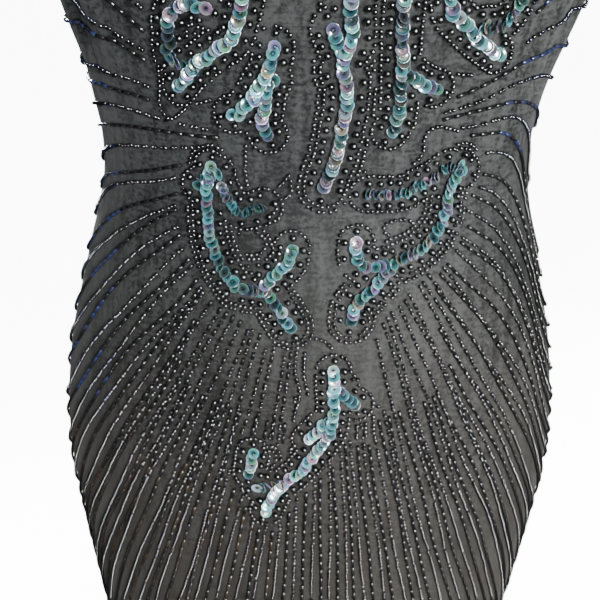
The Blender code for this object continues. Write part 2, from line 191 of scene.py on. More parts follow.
class GownForm:
    """The gown's outer surface without folds, worked out from the table of sections."""

    def __init__(self, sections: Sequence[Section]) -> None:
        """Reads the table and measures its length up the cloth.

        Args:
            sections: The level sections, from the hem up.
        """
        names = Section.__dataclass_fields__
        self.columns = {name: np.array([getattr(row, name) for row in sections]) for name in names}
        rises = np.diff(self.columns["height"])
        swings = np.diff(self.columns["front_depth"])
        self.run = np.concatenate(([0.0], np.cumsum(np.hypot(rises, swings))))
        self.ridge = float(self.run[-1])
        self.slopes = {name: np.gradient(col, self.run) for name, col in self.columns.items()}

    def value(self, name: str, run: np.ndarray) -> np.ndarray:
        """Reads a column at lengths up the cloth.

        Args:
            name: The column.
            run: Lengths up the cloth from the hem.

        Returns:
            The values on a smooth curve through the table.
        """
        table, slope = self.columns[name], self.slopes[name]
        i = np.clip(np.searchsorted(self.run, run, side="right") - 1, 0, len(table) - 2)
        length = self.run[i + 1] - self.run[i]
        t = (run - self.run[i]) / length
        return ((2 * t**3 - 3 * t**2 + 1) * table[i] + (t**3 - 2 * t**2 + t) * length * slope[i]
                + (3 * t**2 - 2 * t**3) * table[i + 1] + (t**3 - t**2) * length * slope[i + 1])

    def place(self, x: np.ndarray, run: np.ndarray, facing: int) -> np.ndarray:
        """Gives points of the surface.

        Args:
            x: Distances from the centre line.
            run: Lengths up the cloth, of the same shape.
            facing: -1 in front, 1 behind.

        Returns:
            The points, with x, y and z along the last axis.
        """
        wide = self.value("half_width", run)
        square = self.value("squareness", run)
        depth = np.maximum(0.0, self.value("front_depth" if facing < 0 else "back_depth", run))
        share = np.maximum(0.0, 1.0 - np.abs(x / wide) ** square) ** (1.0 / square)
        y = facing * np.where(share < 1e-6, -SEAM_LAP / 2, depth * share)
        fall = self.value("shoulder", run) * SHOULDER_SLOPE
        ease = np.hypot(x, SHOULDER_EASE) - math.hypot(NECK_HALF_WIDTH, SHOULDER_EASE)
        return np.stack((x, y, self.value("height", run) - fall * ease), axis=-1)

    def half_row(self, run: float, facing: int) -> tuple[np.ndarray, np.ndarray]:
        """Measures one row from the centre line to its cut edge.

        Args:
            run: The row's length up the cloth.
            facing: -1 in front, 1 behind.

        Returns:
            Distances from the centre line, and the length round the cloth at each.
        """
        runs = np.full(ARC_STEPS, run)
        wide, square = float(self.value("half_width", runs)[0]), float(self.value("squareness", runs)[0])
        cut = min(float(self.value("cut_width", runs)[0]), wide)
        last = math.asin(min(1.0, (cut / wide) ** (square / 2)))
        widths = wide * np.sin(np.linspace(0.0, last, ARC_STEPS)) ** (2 / square)
        steps = np.diff(self.place(widths, runs, facing)[:, :2], axis=0)
        return widths, np.concatenate(([0.0], np.cumsum(np.linalg.norm(steps, axis=1))))


def fold_relief(folds: Sequence[Fold], around: np.ndarray, height: np.ndarray) -> np.ndarray:
    """Sums folds over places on the cloth.

    Args:
        folds: The folds to sum.
        around: Places round the gown, from -1 to 1.
        height: Their heights, of the same shape.

    Returns:
        How far the cloth stands out at each place.
    """
    total = np.zeros_like(around)
    for fold in folds:
        share = (fold.top - height) / (fold.top - fold.bottom)
        offset = np.abs((around - fold.around - fold.lean * share + 1.0) % 2.0 - 1.0)
        crest = np.cos(np.pi / 2 * np.minimum(offset / fold.half_width, 1.0)) ** 2
        rise = np.where((share > 0) & (share < 1), np.sin(np.pi * share) ** 2, 0.0)
        total += fold.height * crest * rise
    return total


def unit_normals(grid: np.ndarray, facing: int) -> np.ndarray:
    """Gives the outward direction at each point of a grid.

    Args:
        grid: Points by row and column.
        facing: -1 in front, 1 behind.

    Returns:
        Unit vectors of the same shape.
    """
    normals = np.cross(np.gradient(grid, axis=1), np.gradient(grid, axis=0))
    normals /= np.maximum(np.linalg.norm(normals, axis=2, keepdims=True), 1e-12)
    return normals if normals[len(grid) // 3, grid.shape[1] // 2, 1] * facing > 0 else -normals


class ClothSide:
    """The front or back of the gown as a fine table of points and outward directions."""

    ROWS = 430
    COLUMNS = 251

    def __init__(self, form: GownForm, facing: int) -> None:
        """Fills the table.

        Args:
            form: The surface without folds.
            facing: -1 in front, 1 behind.
        """
        self.form, self.facing = form, facing
        self.runs = np.linspace(0.0, form.ridge, self.ROWS)
        self.shares = np.linspace(-1.0, 1.0, self.COLUMNS)
        self.arc = np.zeros(self.ROWS)
        widths = np.zeros((self.ROWS, self.COLUMNS))
        for j, run in enumerate(self.runs):
            reach, lengths = form.half_row(run, facing)
            self.arc[j] = lengths[-1]
            widths[j] = np.sign(self.shares) * np.interp(np.abs(self.shares), lengths / lengths[-1], reach)
        bare = form.place(widths, np.broadcast_to(self.runs[:, None], widths.shape), facing)
        shares = np.broadcast_to(self.shares, widths.shape)
        around = shares / 2 if facing < 0 else np.where(shares < 0, -1.0, 1.0) - shares / 2
        relief = fold_relief(FOLDS + CREASES, around, bare[:, :, 2])
        self.points = bare + relief[:, :, None] * unit_normals(bare, facing)
        self.normals = unit_normals(self.points, facing)

    def at(self, share: np.ndarray, run: np.ndarray) -> tuple[np.ndarray, np.ndarray]:
        """Reads the table between its points.

        Args:
            share: Signed shares of the half section's length, -1 to 1.
            run: Lengths up the cloth.

        Returns:
            Points and unit outward directions.
        """
        across = np.clip((share + 1.0) / 2.0 * (self.COLUMNS - 1), 0.0, self.COLUMNS - 1.001)
        up = np.clip(run / self.form.ridge * (self.ROWS - 1), 0.0, self.ROWS - 1.001)
        i, j = across.astype(int), up.astype(int)
        a, b = (across - i)[..., None], (up - j)[..., None]
        read = [(1 - b) * ((1 - a) * table[j, i] + a * table[j, i + 1])
                + b * ((1 - a) * table[j + 1, i] + a * table[j + 1, i + 1])
                for table in (self.points, self.normals)]
        return read[0], read[1] / np.linalg.norm(read[1], axis=-1, keepdims=True)

    def arc_at(self, run: np.ndarray) -> np.ndarray:
        """Gives the length of the half section at lengths up the cloth."""
        return np.interp(run, self.runs, self.arc)

    def neck_run(self, share: np.ndarray) -> np.ndarray:
        """Gives the length up the cloth at which each column ends, at the neck or the shoulder."""
        drop = NECK_DROP[self.facing] * (1.0 - np.minimum(np.abs(share) / NECK_SHARE, 1.0) ** NECK_ROUNDNESS)
        return self.form.ridge - drop


@dataclass
class Places:
    """Places on the cloth, with what is known about each."""

    points: np.ndarray
    normals: np.ndarray
    inside: np.ndarray
    by_seam: np.ndarray
    front: np.ndarray


class GownCloth:
    """Both sides of the cloth, read by s and level."""

    EDGE_MARGIN = 0.0045
    ZIP_MARGIN = 0.0080
    SEAM_MARGIN = 0.0019

    def __init__(self) -> None:
        """Builds the front and back tables."""
        self.form = GownForm(SECTIONS)
        self.sides = {facing: ClothSide(self.form, facing) for facing in (-1, 1)}
        self.levels = self.form.value("height", self.sides[-1].runs)

    def run_at(self, level: np.ndarray) -> np.ndarray:
        """Turns levels into lengths up the cloth."""
        return np.interp(level, self.levels, self.sides[-1].runs)

    def read(self, s: np.ndarray, level: np.ndarray) -> Places:
        """Finds places by their length round the cloth and their level.

        Args:
            s: Lengths round the cloth from centre front, in metres.
            level: Levels in metres.

        Returns:
            The places.
        """
        run = self.run_at(level)
        front_arc, back_arc = self.sides[-1].arc_at(run), self.sides[1].arc_at(run)
        side = np.where(s < 0, -1.0, 1.0)
        past = np.abs(s) - front_arc
        front = past <= 0
        front_share = s / front_arc
        back_share = side * (1.0 - past / back_arc)
        fronts = self.sides[-1].at(np.clip(front_share, -1, 1), run)
        backs = self.sides[1].at(np.clip(back_share, -1, 1), run)
        pick = front[:, None]
        points, normals = (np.where(pick, f, b) for f, b in zip(fronts, backs))
        share = np.where(front, front_share, back_share)
        top = np.where(front, self.sides[-1].neck_run(share), self.sides[1].neck_run(share))
        inside = (run < top - self.EDGE_MARGIN) & (level > self.levels[0] + self.EDGE_MARGIN)
        inside &= front | (back_arc - past > self.ZIP_MARGIN)
        above = level > UNDERARM - self.EDGE_MARGIN
        armhole = np.where(front, -past, past) < self.EDGE_MARGIN
        inside &= ~(above & (armhole | (past > 0) & (np.abs(back_share) > 1.0)))
        return Places(points, normals, inside, np.abs(past) < self.SEAM_MARGIN, front)


class Shade:
    """A node's output that takes part in plain arithmetic; each step adds a Math node."""

    def __init__(self, tree: bpy.types.NodeTree, socket: bpy.types.NodeSocket) -> None:
        """Wraps a socket of a tree."""
        self.tree, self.socket = tree, socket

    def step(self, operation: str, *values: object) -> "Shade":
        """Adds one Math node.

        Args:
            operation: The Math node's operation.
            values: Its inputs, in order, as numbers or shades.

        Returns:
            The result.
        """
        node = self.tree.nodes.new("ShaderNodeMath")
        node.operation = operation
        for socket, value in zip(node.inputs, values):
            if isinstance(value, Shade):
                self.tree.links.new(value.socket, socket)
            else:
                socket.default_value = value
        return Shade(self.tree, node.outputs[0])

    def __add__(self, other: object) -> "Shade":
        """Adds."""
        return self.step("ADD", self, other)

    def __mul__(self, other: object) -> "Shade":
        """Multiplies."""
        return self.step("MULTIPLY", self, other)

    def __sub__(self, other: object) -> "Shade":
        """Subtracts."""
        return self.step("SUBTRACT", self, other)

    def __rsub__(self, other: object) -> "Shade":
        """Subtracts from a number."""
        return self.step("SUBTRACT", other, self)

    __radd__ = __add__
    __rmul__ = __mul__


class Bench:
    """Builds one material's nodes around its main shader."""

    def __init__(self, name: str) -> None:
        """Starts a material with a single Principled shader.

        Args:
            name: The material's name.
        """
        self.material = bpy.data.materials.new(name)
        self.material.use_nodes = True
        self.tree = self.material.node_tree
        self.shader = self.tree.nodes["Principled BSDF"]

    def node(self, kind: str, settings: Optional[dict] = None, values: Optional[dict] = None,
             stops: Sequence[tuple] = ()) -> bpy.types.Node:
        """Adds a node.

        Args:
            kind: The node's type, without its usual prefix.
            settings: Attributes to set first.
            values: Socket values or links by input name or number.
            stops: A ramp's positions and colours.

        Returns:
            The node.
        """
        node = self.tree.nodes.new("ShaderNode" + kind)
        for name, value in (settings or {}).items():
            setattr(node, name, value)
        if stops:
            ramp = node.color_ramp.elements
            while len(ramp) < len(stops):
                ramp.new(0.5)
            for element, (position, colour) in zip(ramp, stops):
                element.position, element.color = position, (*colour, 1.0)
        for name, value in (values or {}).items():
            source = value.socket if isinstance(value, Shade) else value
            if isinstance(source, bpy.types.NodeSocket):
                self.tree.links.new(source, node.inputs[name])
            else:
                node.inputs[name].default_value = source
        return node

    def noise(self, vector: bpy.types.NodeSocket, scale: float, detail: float, rough: float = 0.55) -> Shade:
        """Adds a noise texture and gives its value.

        Args:
            vector: Where it is read.
            scale: Its scale.
            detail: How many octaves it has.
            rough: How strong the fine octaves are.

        Returns:
            The noise's value, from 0 to 1.
        """
        node = self.node("TexNoise", {}, {"Vector": vector, "Scale": scale, "Detail": detail,
                                          "Roughness": rough})
        return Shade(self.tree, node.outputs["Fac"])

    def coordinates(self, output: str, stretch: tuple = (1.0, 1.0, 1.0)) -> bpy.types.NodeSocket:
        """Gives the piece's own coordinates, stretched."""
        source = self.node("TexCoord").outputs[output]
        return self.node("Mapping", {}, {"Vector": source, "Scale": stretch}).outputs[0]

    def blend(self, share: object, first: object, second: object, mode: str = "MIX") -> bpy.types.NodeSocket:
        """Mixes two colours.

        Args:
            share: How much of the second.
            first: A colour or a link.
            second: A colour or a link.
            mode: The Mix node's blend type.

        Returns:
            The mixed colour's socket.
        """
        node = self.node("Mix", {"data_type": "RGBA", "blend_type": mode}, {0: share})
        for socket, value in ((node.inputs[6], first), (node.inputs[7], second)):
            if isinstance(value, bpy.types.NodeSocket):
                self.tree.links.new(value, socket)
            else:
                socket.default_value = (*value, 1.0)
        return node.outputs[2]

    def feed(self, **sources: object) -> None:
        """Sets or links the main shader's sockets; underscores stand for spaces."""
        for name, value in sources.items():
            socket = self.shader.inputs[name.replace("_", " ")]
            source = value.socket if isinstance(value, Shade) else value
            if isinstance(source, bpy.types.NodeSocket):
                self.tree.links.new(source, socket)
            else:
                socket.default_value = source

    def bump(self, height: Shade, strength: float, distance: float) -> None:
        """Feeds the shader's normal from a height."""
        node = self.node("Bump", {}, {"Height": height, "Strength": strength, "Distance": distance})
        self.feed(Normal=node.outputs[0])


@dataclass(frozen=True)
class SilkFinish:
    """Fine black silk with a slubby grain, a little greyer where it is rubbed, and painted warm bounce light
    towards the bottom.
    """

    deep: tuple = (0.0012, 0.0015, 0.0015)
    worn: tuple = (0.0101, 0.0109, 0.0106)
    # Painted warm bounce light, mixed in towards the bottom.
    warm: tuple = (0.0084, 0.0066, 0.0046)

    def material(self) -> bpy.types.Material:
        """Builds the silk.

        Returns:
            The material.
        """
        bench = Bench("black_silk")
        warp, weft, slub, streak = (
            bench.noise(bench.coordinates("UV", (across, up, 1.0)), 1.0, detail, rough)
            for across, up, detail, rough in ((1400.0, 260.0, 2.0, 0.55), (240.0, 1500.0, 2.0, 0.55),
                                              (90.0, 420.0, 3.0, 0.6), (170.0, 20.0, 2.0, 0.5)))
        cloud = bench.noise(bench.coordinates("Object"), 9.0, 3.0)
        mottle = bench.noise(bench.coordinates("Object"), 480.0, 3.0, 0.68)
        grain = (warp + weft) * 0.5
        tone = (grain - 0.5) * 1.3 + (slub - 0.5) * 1.9 + (mottle - 0.5) * 3.2
        tone = tone + (cloud - 0.5) * 1.4 + (streak - 0.5) * 2.0 + 0.5
        colour = bench.blend(tone, self.deep, self.worn)
        # Painted warm bounce light: the colour turns warmer towards the bottom of the gown.
        height = bench.node("SeparateXYZ", {}, {0: bench.coordinates("Object")}).outputs[2]
        painted_bounce_share = Shade(bench.tree, height) * -3.0 - 1.2
        painted_bounce_share = painted_bounce_share.step("MINIMUM", painted_bounce_share.step("MAXIMUM", painted_bounce_share, 0.0), 0.6)
        colour = bench.blend(painted_bounce_share * cloud * 1.4, colour, self.warm)
        bench.feed(Base_Color=colour, Roughness=0.52 + grain * 0.28, Sheen_Weight=0.04,
                   Sheen_Roughness=0.4, Specular_IOR_Level=0.14)
        bench.bump(grain + slub * 0.6, 0.55, 0.00025)
        return bench.material


@dataclass(frozen=True)
class JetFinish:
    """Cut or polished black glass in black tones of its own; some beads carry painted light: a brown cast for
    warm light and a navy cast for cool shade.
    """

    name: str
    roughness: float = 0.06
    ior: float = 1.90
    clear: float = 1.0

    def material(self) -> bpy.types.Material:
        """Builds the glass; clear lightens its body, as in thin-walled tubes.

        Returns:
            The material.
        """
        bench = Bench(self.name)
        cast = Shade(bench.tree, bench.node("Attribute", {"attribute_name": "cast"}).outputs["Fac"])
        # The brown stop is painted warm light and the navy stop is painted cool shade; the lower stops are
        # the glass's own black.
        stops = ((0.0, (0.0009, 0.0009, 0.0010)), (0.80, (0.0014, 0.0013, 0.0013)),
                 (0.88, (0.0040, 0.0028, 0.0016)), (1.0, (0.0016, 0.0028, 0.0090)))
        ramp = bench.node("ValToRGB", {}, {0: cast}, [
            (position, tuple(self.clear * part for part in colour)) for position, colour in stops])
        smear = bench.noise(bench.coordinates("Object"), 700.0, 2.0)
        bench.feed(Base_Color=ramp.outputs[0], Roughness=self.roughness + smear * 0.06, IOR=self.ior)
        return bench.material


@dataclass(frozen=True)
class SequinFinish:
    """Thin plastic sequins with a shifting mother-of-pearl colour of their own."""

    roughness: float = 0.17

    def material(self) -> bpy.types.Material:
        """Builds the pearly film.

        Returns:
            The material.
        """
        bench = Bench("pearl_sequin")
        own = bench.node("Attribute", {"attribute_name": "film"}).outputs["Color"]
        swirl = bench.noise(bench.coordinates("Object"), 260.0, 2.0)
        shift = bench.node("ValToRGB", {}, {0: swirl}, [
            (0.34, (0.70, 1.20, 1.20)), (0.46, (0.95, 0.85, 1.30)),
            (0.56, (1.30, 1.00, 1.05)), (0.66, (0.85, 1.35, 0.95))])
        colour = bench.blend(0.75, own, shift.outputs[0], "MULTIPLY")
        rough = bench.noise(bench.coordinates("Object"), 900.0, 1.0)
        bench.feed(Base_Color=colour, Roughness=self.roughness + rough * 0.14, Metallic=0.35,
                   Coat_Weight=0.80, Coat_Roughness=0.04, Thin_Film_Thickness=420.0, Thin_Film_IOR=1.45)
        return bench.material


@dataclass(frozen=True)
class TapeFinish:
    """Woven black zip tape."""

    def material(self) -> bpy.types.Material:
        """Builds the tape's ribbed weave.

        Returns:
            The material.
        """
        bench = Bench("zip_tape_weave")
        rib = bench.noise(bench.coordinates("Object", (2600.0, 500.0, 900.0)), 1.0, 2.0)
        colour = bench.blend(rib, (0.010, 0.010, 0.011), (0.030, 0.030, 0.032))
        bench.feed(Base_Color=colour, Roughness=0.74 + rib * 0.14, Sheen_Weight=0.2)
        bench.bump(rib, 0.6, 0.0003)
        return bench.material


@dataclass(frozen=True)
class MetalFinish:
    """Dark brushed zip metal, brighter where fingers have polished it."""

    def material(self) -> bpy.types.Material:
        """Builds the brushed metal.

        Returns:
            The material.
        """
        bench = Bench("dark_zip_metal")
        brush = bench.noise(bench.coordinates("Object", (9000.0, 700.0, 700.0)), 1.0, 2.0)
        rub = bench.noise(bench.coordinates("Object"), 240.0, 3.0)
        colour = bench.blend(rub, (0.075, 0.075, 0.080), (0.20, 0.20, 0.205))
        bench.feed(Base_Color=colour, Roughness=0.24 + brush * 0.18, Metallic=1.0)
        bench.bump(brush, 0.25, 0.00005)
        return bench.material


@dataclass(frozen=True)
class ThreadFinish:
    """Twisted black sewing thread."""

    def material(self) -> bpy.types.Material:
        """Builds the thread.

        Returns:
            The material.
        """
        bench = Bench("black_thread")
        twist = bench.noise(bench.coordinates("Object"), 2400.0, 1.0)
        bench.feed(Base_Color=bench.blend(twist, (0.012, 0.012, 0.013), (0.050, 0.050, 0.052)),
                   Roughness=0.5 + twist * 0.2, Sheen_Weight=0.3)
        return bench.material


@dataclass(frozen=True)
class FloorFinish:
    """The studio's plain pale floor."""

    def material(self) -> bpy.types.Material:
        """Builds the floor.

        Returns:
            The material.
        """
        bench = Bench("studio_floor")
        bench.feed(Base_Color=(0.86, 0.86, 0.86, 1.0), Roughness=0.9,
                   Emission_Color=(1.0, 1.0, 1.0, 1.0), Emission_Strength=9.0)
        return bench.material


def new_piece(name: str, data: bpy.types.Mesh, material: bpy.types.Material,
              body: str = "gown") -> bpy.types.Object:
    """Adds a finished mesh to the scene as a named piece.

    Args:
        name: The piece's name.
        data: Its mesh, in place.
        material: Its finish.
        body: The body that carries it.

    Returns:
        The piece.
    """
    piece = bpy.data.objects.new(name, data)
    bpy.context.scene.collection.objects.link(piece)
    data.materials.clear()
    data.materials.append(material)
    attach(piece, body)
    return piece


@dataclass
class ClothPanel:
    """One of the gown's three cut pieces of silk, as a thin shell."""

    name: str
    node: str
    facing: int
    first: float
    last: float
    columns: int
    flat: tuple
    area: float
    thickness: float = 0.0009
    rows: tuple = ((-1.430, -0.900, 32), (-0.900, -0.205, 94))
    top_rows: int = 38

    def run_rows(self, cloth: GownCloth, share: np.ndarray) -> np.ndarray:
        """Lists the rows of each column.

        Args:
            cloth: The gown's cloth.
            share: The columns' places.

        Returns:
            Lengths up the cloth by row and column.
        """
        low = [cloth.run_at(np.linspace(a, b, count + 1)[:-1]) for a, b, count in self.rows]
        plain = np.repeat(np.concatenate(low)[:, None], len(share), axis=1)
        start = float(cloth.run_at(np.array(self.rows[-1][1])))
        rise = np.linspace(0.0, 1.0, self.top_rows + 1)[:, None]
        top = start + rise * (cloth.sides[self.facing].neck_run(share) - start)
        return np.concatenate((plain, top))

    def build(self, cloth: GownCloth, material: bpy.types.Material) -> bpy.types.Object:
        """Cuts, hangs and dresses the panel.

        Args:
            cloth: The gown's cloth.
            material: The silk.

        Returns:
            The panel.
        """
        side = cloth.sides[self.facing]
        share = np.linspace(self.first, self.last, self.columns + 1)
        runs = self.run_rows(cloth, share)
        count = len(runs)
        shares = np.broadcast_to(share, runs.shape)
        points, _ = side.at(shares, runs)
        if self.facing > 0:
            open_share = np.clip((points[:, :, 2] - ZIP_END) / ZIP_SLIT_RUN, 0.0, 1.0)
            edge = open_share * (ZIP_SLIT + SEAM_LAP) / 2 - SEAM_LAP / 2
            sign = np.sign(self.first + self.last)
            out = np.maximum(sign * points[:, :, 0], edge)
            points[:, :, 0] = sign * np.where(np.abs(shares) < TINY, edge, out)
        mesh = bmesh.new()
        bmesh.ops.create_grid(mesh, x_segments=self.columns, y_segments=count - 1, size=0.5)
        arcs = side.arc_at(runs) * shares
        layer = mesh.loops.layers.uv.new("cloth")
        for vert in mesh.verts:
            i, j = round((vert.co.x + 0.5) * self.columns), round((vert.co.y + 0.5) * (count - 1))
            vert.co = points[j, i]
            for loop in vert.link_loops:
                loop[layer].uv = (arcs[j, i], runs[j, i])
        if self.facing > 0:
            bmesh.ops.reverse_faces(mesh, faces=mesh.faces)
        data = bpy.data.meshes.new(self.name)
        mesh.to_mesh(data)
        mesh.free()
        data.shade_smooth()
        panel = new_piece(self.name, data, material)
        wall = panel.modifiers.new("cloth thickness", "SOLIDIFY")
        wall.thickness, wall.offset = self.thickness, -1.0
        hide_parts(self.node)
        return panel


@dataclass
class Template:
    """One small shape about the origin, Z along its hole, as arrays ready to repeat."""

    verts: np.ndarray
    loops: np.ndarray
    sizes: np.ndarray
    smooth: np.ndarray

    @staticmethod
    def from_bmesh(mesh: bmesh.types.BMesh) -> "Template":
        """Reads a bmesh and frees it.

        Args:
            mesh: The shape.

        Returns:
            The template.
        """
        if mesh.calc_volume(signed=True) < 0.0:
            bmesh.ops.reverse_faces(mesh, faces=mesh.faces)
        mesh.verts.index_update()
        verts = np.array([vert.co[:] for vert in mesh.verts])
        loops = np.array([vert.index for face in mesh.faces for vert in face.verts])
        sizes = np.array([len(face.verts) for face in mesh.faces])
        smooth = np.array([abs(face.normal.z) < 0.97 or len(face.verts) == 3 for face in mesh.faces])
        mesh.free()
        return Template(verts, loops, sizes, smooth)

    @staticmethod
    def ball(around: int, along: int) -> "Template":
        """Makes a bead of unit radius.

        Args:
            around: Its sides round the pole.
            along: Its bands from pole to pole.

        Returns:
            The template.
        """
        mesh = bmesh.new()
        bmesh.ops.create_uvsphere(mesh, u_segments=around, v_segments=along, radius=1.0)
        return Template.from_bmesh(mesh)

    @staticmethod
    def tube(sides: int) -> "Template":
        """Makes a bugle of unit radius and unit half length.

        Args:
            sides: How many sides it has.

        Returns:
            The template.
        """
        mesh = bmesh.new()
        bmesh.ops.create_cone(mesh, cap_ends=True, segments=sides, radius1=1.0, radius2=1.0, depth=2.0)
        return Template.from_bmesh(mesh)

    @staticmethod
    def cup(steps: int) -> "Template":
        """Makes a cupped sequin of unit radius with its sewing hole, closed all round.

        Args:
            steps: How many sides it has.

        Returns:
            The template.
        """
        mesh = bmesh.new()
        profile = ((0.15, 0.0), (0.62, 0.035), (0.88, 0.13), (1.0, 0.20),
                   (1.0, 0.235), (0.88, 0.17), (0.62, 0.075), (0.15, 0.04))
        verts = [mesh.verts.new((x, 0.0, z)) for x, z in profile]
        edges = [mesh.edges.new((a, b)) for a, b in zip(verts, verts[1:] + verts[:1])]
        bmesh.ops.spin(mesh, geom=verts + edges, cent=(0, 0, 0), axis=(0, 0, 1),
                       angle=2 * math.pi, steps=steps, use_merge=True)
        bmesh.ops.remove_doubles(mesh, verts=mesh.verts, dist=1e-4)
        bmesh.ops.recalc_face_normals(mesh, faces=mesh.faces)
        return Template.from_bmesh(mesh)


class SewnOn:
    """Gathers many small things of one shape and joins them to one mesh."""

    def __init__(self, name: str, template: Template) -> None:
        """Starts an empty gathering.

        Args:
            name: The piece's name.
            template: What is gathered.
        """
        self.name, self.template = name, template
        self.frames: list[np.ndarray] = []
        self.centres: list[np.ndarray] = []
        self.tints: list[np.ndarray] = []

    def add(self, centre: np.ndarray, axis: np.ndarray, up: np.ndarray, size: np.ndarray,
            tint: np.ndarray) -> None:
        """Adds a batch.

        Args:
            centre: Centres, one row each.
            axis: Directions of the holes, unit length.
            up: Outward directions.
            size: Half sizes across, outwards and along the axis.
            tint: One number, or one colour, for each.
        """
        if not len(centre):
            return
        across = np.cross(up, axis)
        across /= np.linalg.norm(across, axis=1, keepdims=True)
        out = np.cross(axis, across)
        frame = np.stack((across, out, axis), axis=1) * size[:, :, None]
        self.frames.append(frame)
        self.centres.append(centre)
        self.tints.append(tint)

    def spread_tints(self) -> np.ndarray:
        """Gives each point the tint of the thing that it belongs to."""
        return np.repeat(np.concatenate(self.tints), len(self.template.verts), axis=0)

    def build(self, material: bpy.types.Material, slot: str, attribute: str = "cast") -> bpy.types.Object:
        """Joins them to one piece.

        Args:
            material: The finish.
            slot: Not used.
            attribute: The name under which the tints are kept.

        Returns:
            The piece.
        """
        shape = self.template
        frames, centres = np.concatenate(self.frames), np.concatenate(self.centres)
        count = len(centres)
        points = np.einsum("vk,nkc->nvc", shape.verts, frames) + centres[:, None, :]
        each = len(shape.verts)
        data = bpy.data.meshes.new(self.name)
        data.vertices.add(count * each)
        data.vertices.foreach_set("co", points.reshape(-1))
        loops = (shape.loops[None, :] + each * np.arange(count)[:, None]).reshape(-1)
        data.loops.add(len(loops))
        data.loops.foreach_set("vertex_index", loops.astype(np.int32))
        sizes = np.tile(shape.sizes, count)
        data.polygons.add(len(sizes))
        starts = np.concatenate(([0], np.cumsum(sizes)[:-1]))
        data.polygons.foreach_set("loop_start", starts.astype(np.int32))
        data.polygons.foreach_set("use_smooth", np.tile(shape.smooth, count))
        tints = self.spread_tints()
        if tints.ndim == 1:
            data.attributes.new(attribute, "FLOAT", "POINT").data.foreach_set("value", tints)
        else:
            rgba = np.concatenate((tints, np.ones((len(tints), 1))), axis=1)
            data.attributes.new(attribute, "FLOAT_COLOR", "POINT").data.foreach_set("color", rgba.reshape(-1))
        data.update(calc_edges=True)
        data.validate()
        triangles = count * int((shape.sizes - 2).sum())
        log.info("%s: %d sewn on, %d triangles", self.name, count, triangles)
        return new_piece(self.name, data, material)


class PearlSequins(SewnOn):
    """Gathered sequins, each with two film colours that paint one side lit and the other shaded, a painted
    highlight on its pale rim and a dark sewing hole.
    """

    HOLE = 0.30
    HOLE_SHADE = 0.92
    RIM = 0.84

    def spread_tints(self) -> np.ndarray:
        """Runs the two colours across each sequin as painted light and shade, dark at its hole and pale at
        its rim with a painted highlight.

        Returns:
            A colour for each vertex.
        """
        first, second, pale = np.split(np.concatenate(self.tints)[:, None, :], 3, axis=2)
        x, y = self.template.verts[:, 0], self.template.verts[:, 1]
        reach = np.hypot(x, y)
        across = (0.5 + 0.5 * x)[None, :, None]
        rim = np.clip((reach - self.RIM) / (1.0 - self.RIM), 0.0, 1.0)[None, :, None]
        hole = np.clip((self.HOLE - reach) / 0.1, 0.0, 1.0)[None, :, None]
        # Painted light and shade: one side of each sequin lit, the other shaded.
        colour = (1.0 - across) * first + across * second
        # Painted highlight along the rim.
        colour = (1.0 - rim) * colour + rim * pale
        return (colour * (1.0 - self.HOLE_SHADE * hole)).reshape(-1, 3)


@dataclass
class Sizes:
    """Half sizes of what is sewn on, in metres."""

    seed: float = 1.20 * MM
    trim_seed: float = 1.30 * MM
    seed_squash: float = 0.93
    round: float = 1.90 * MM
    bugle: float = 1.02 * MM
    sequin: float = 3.55 * MM


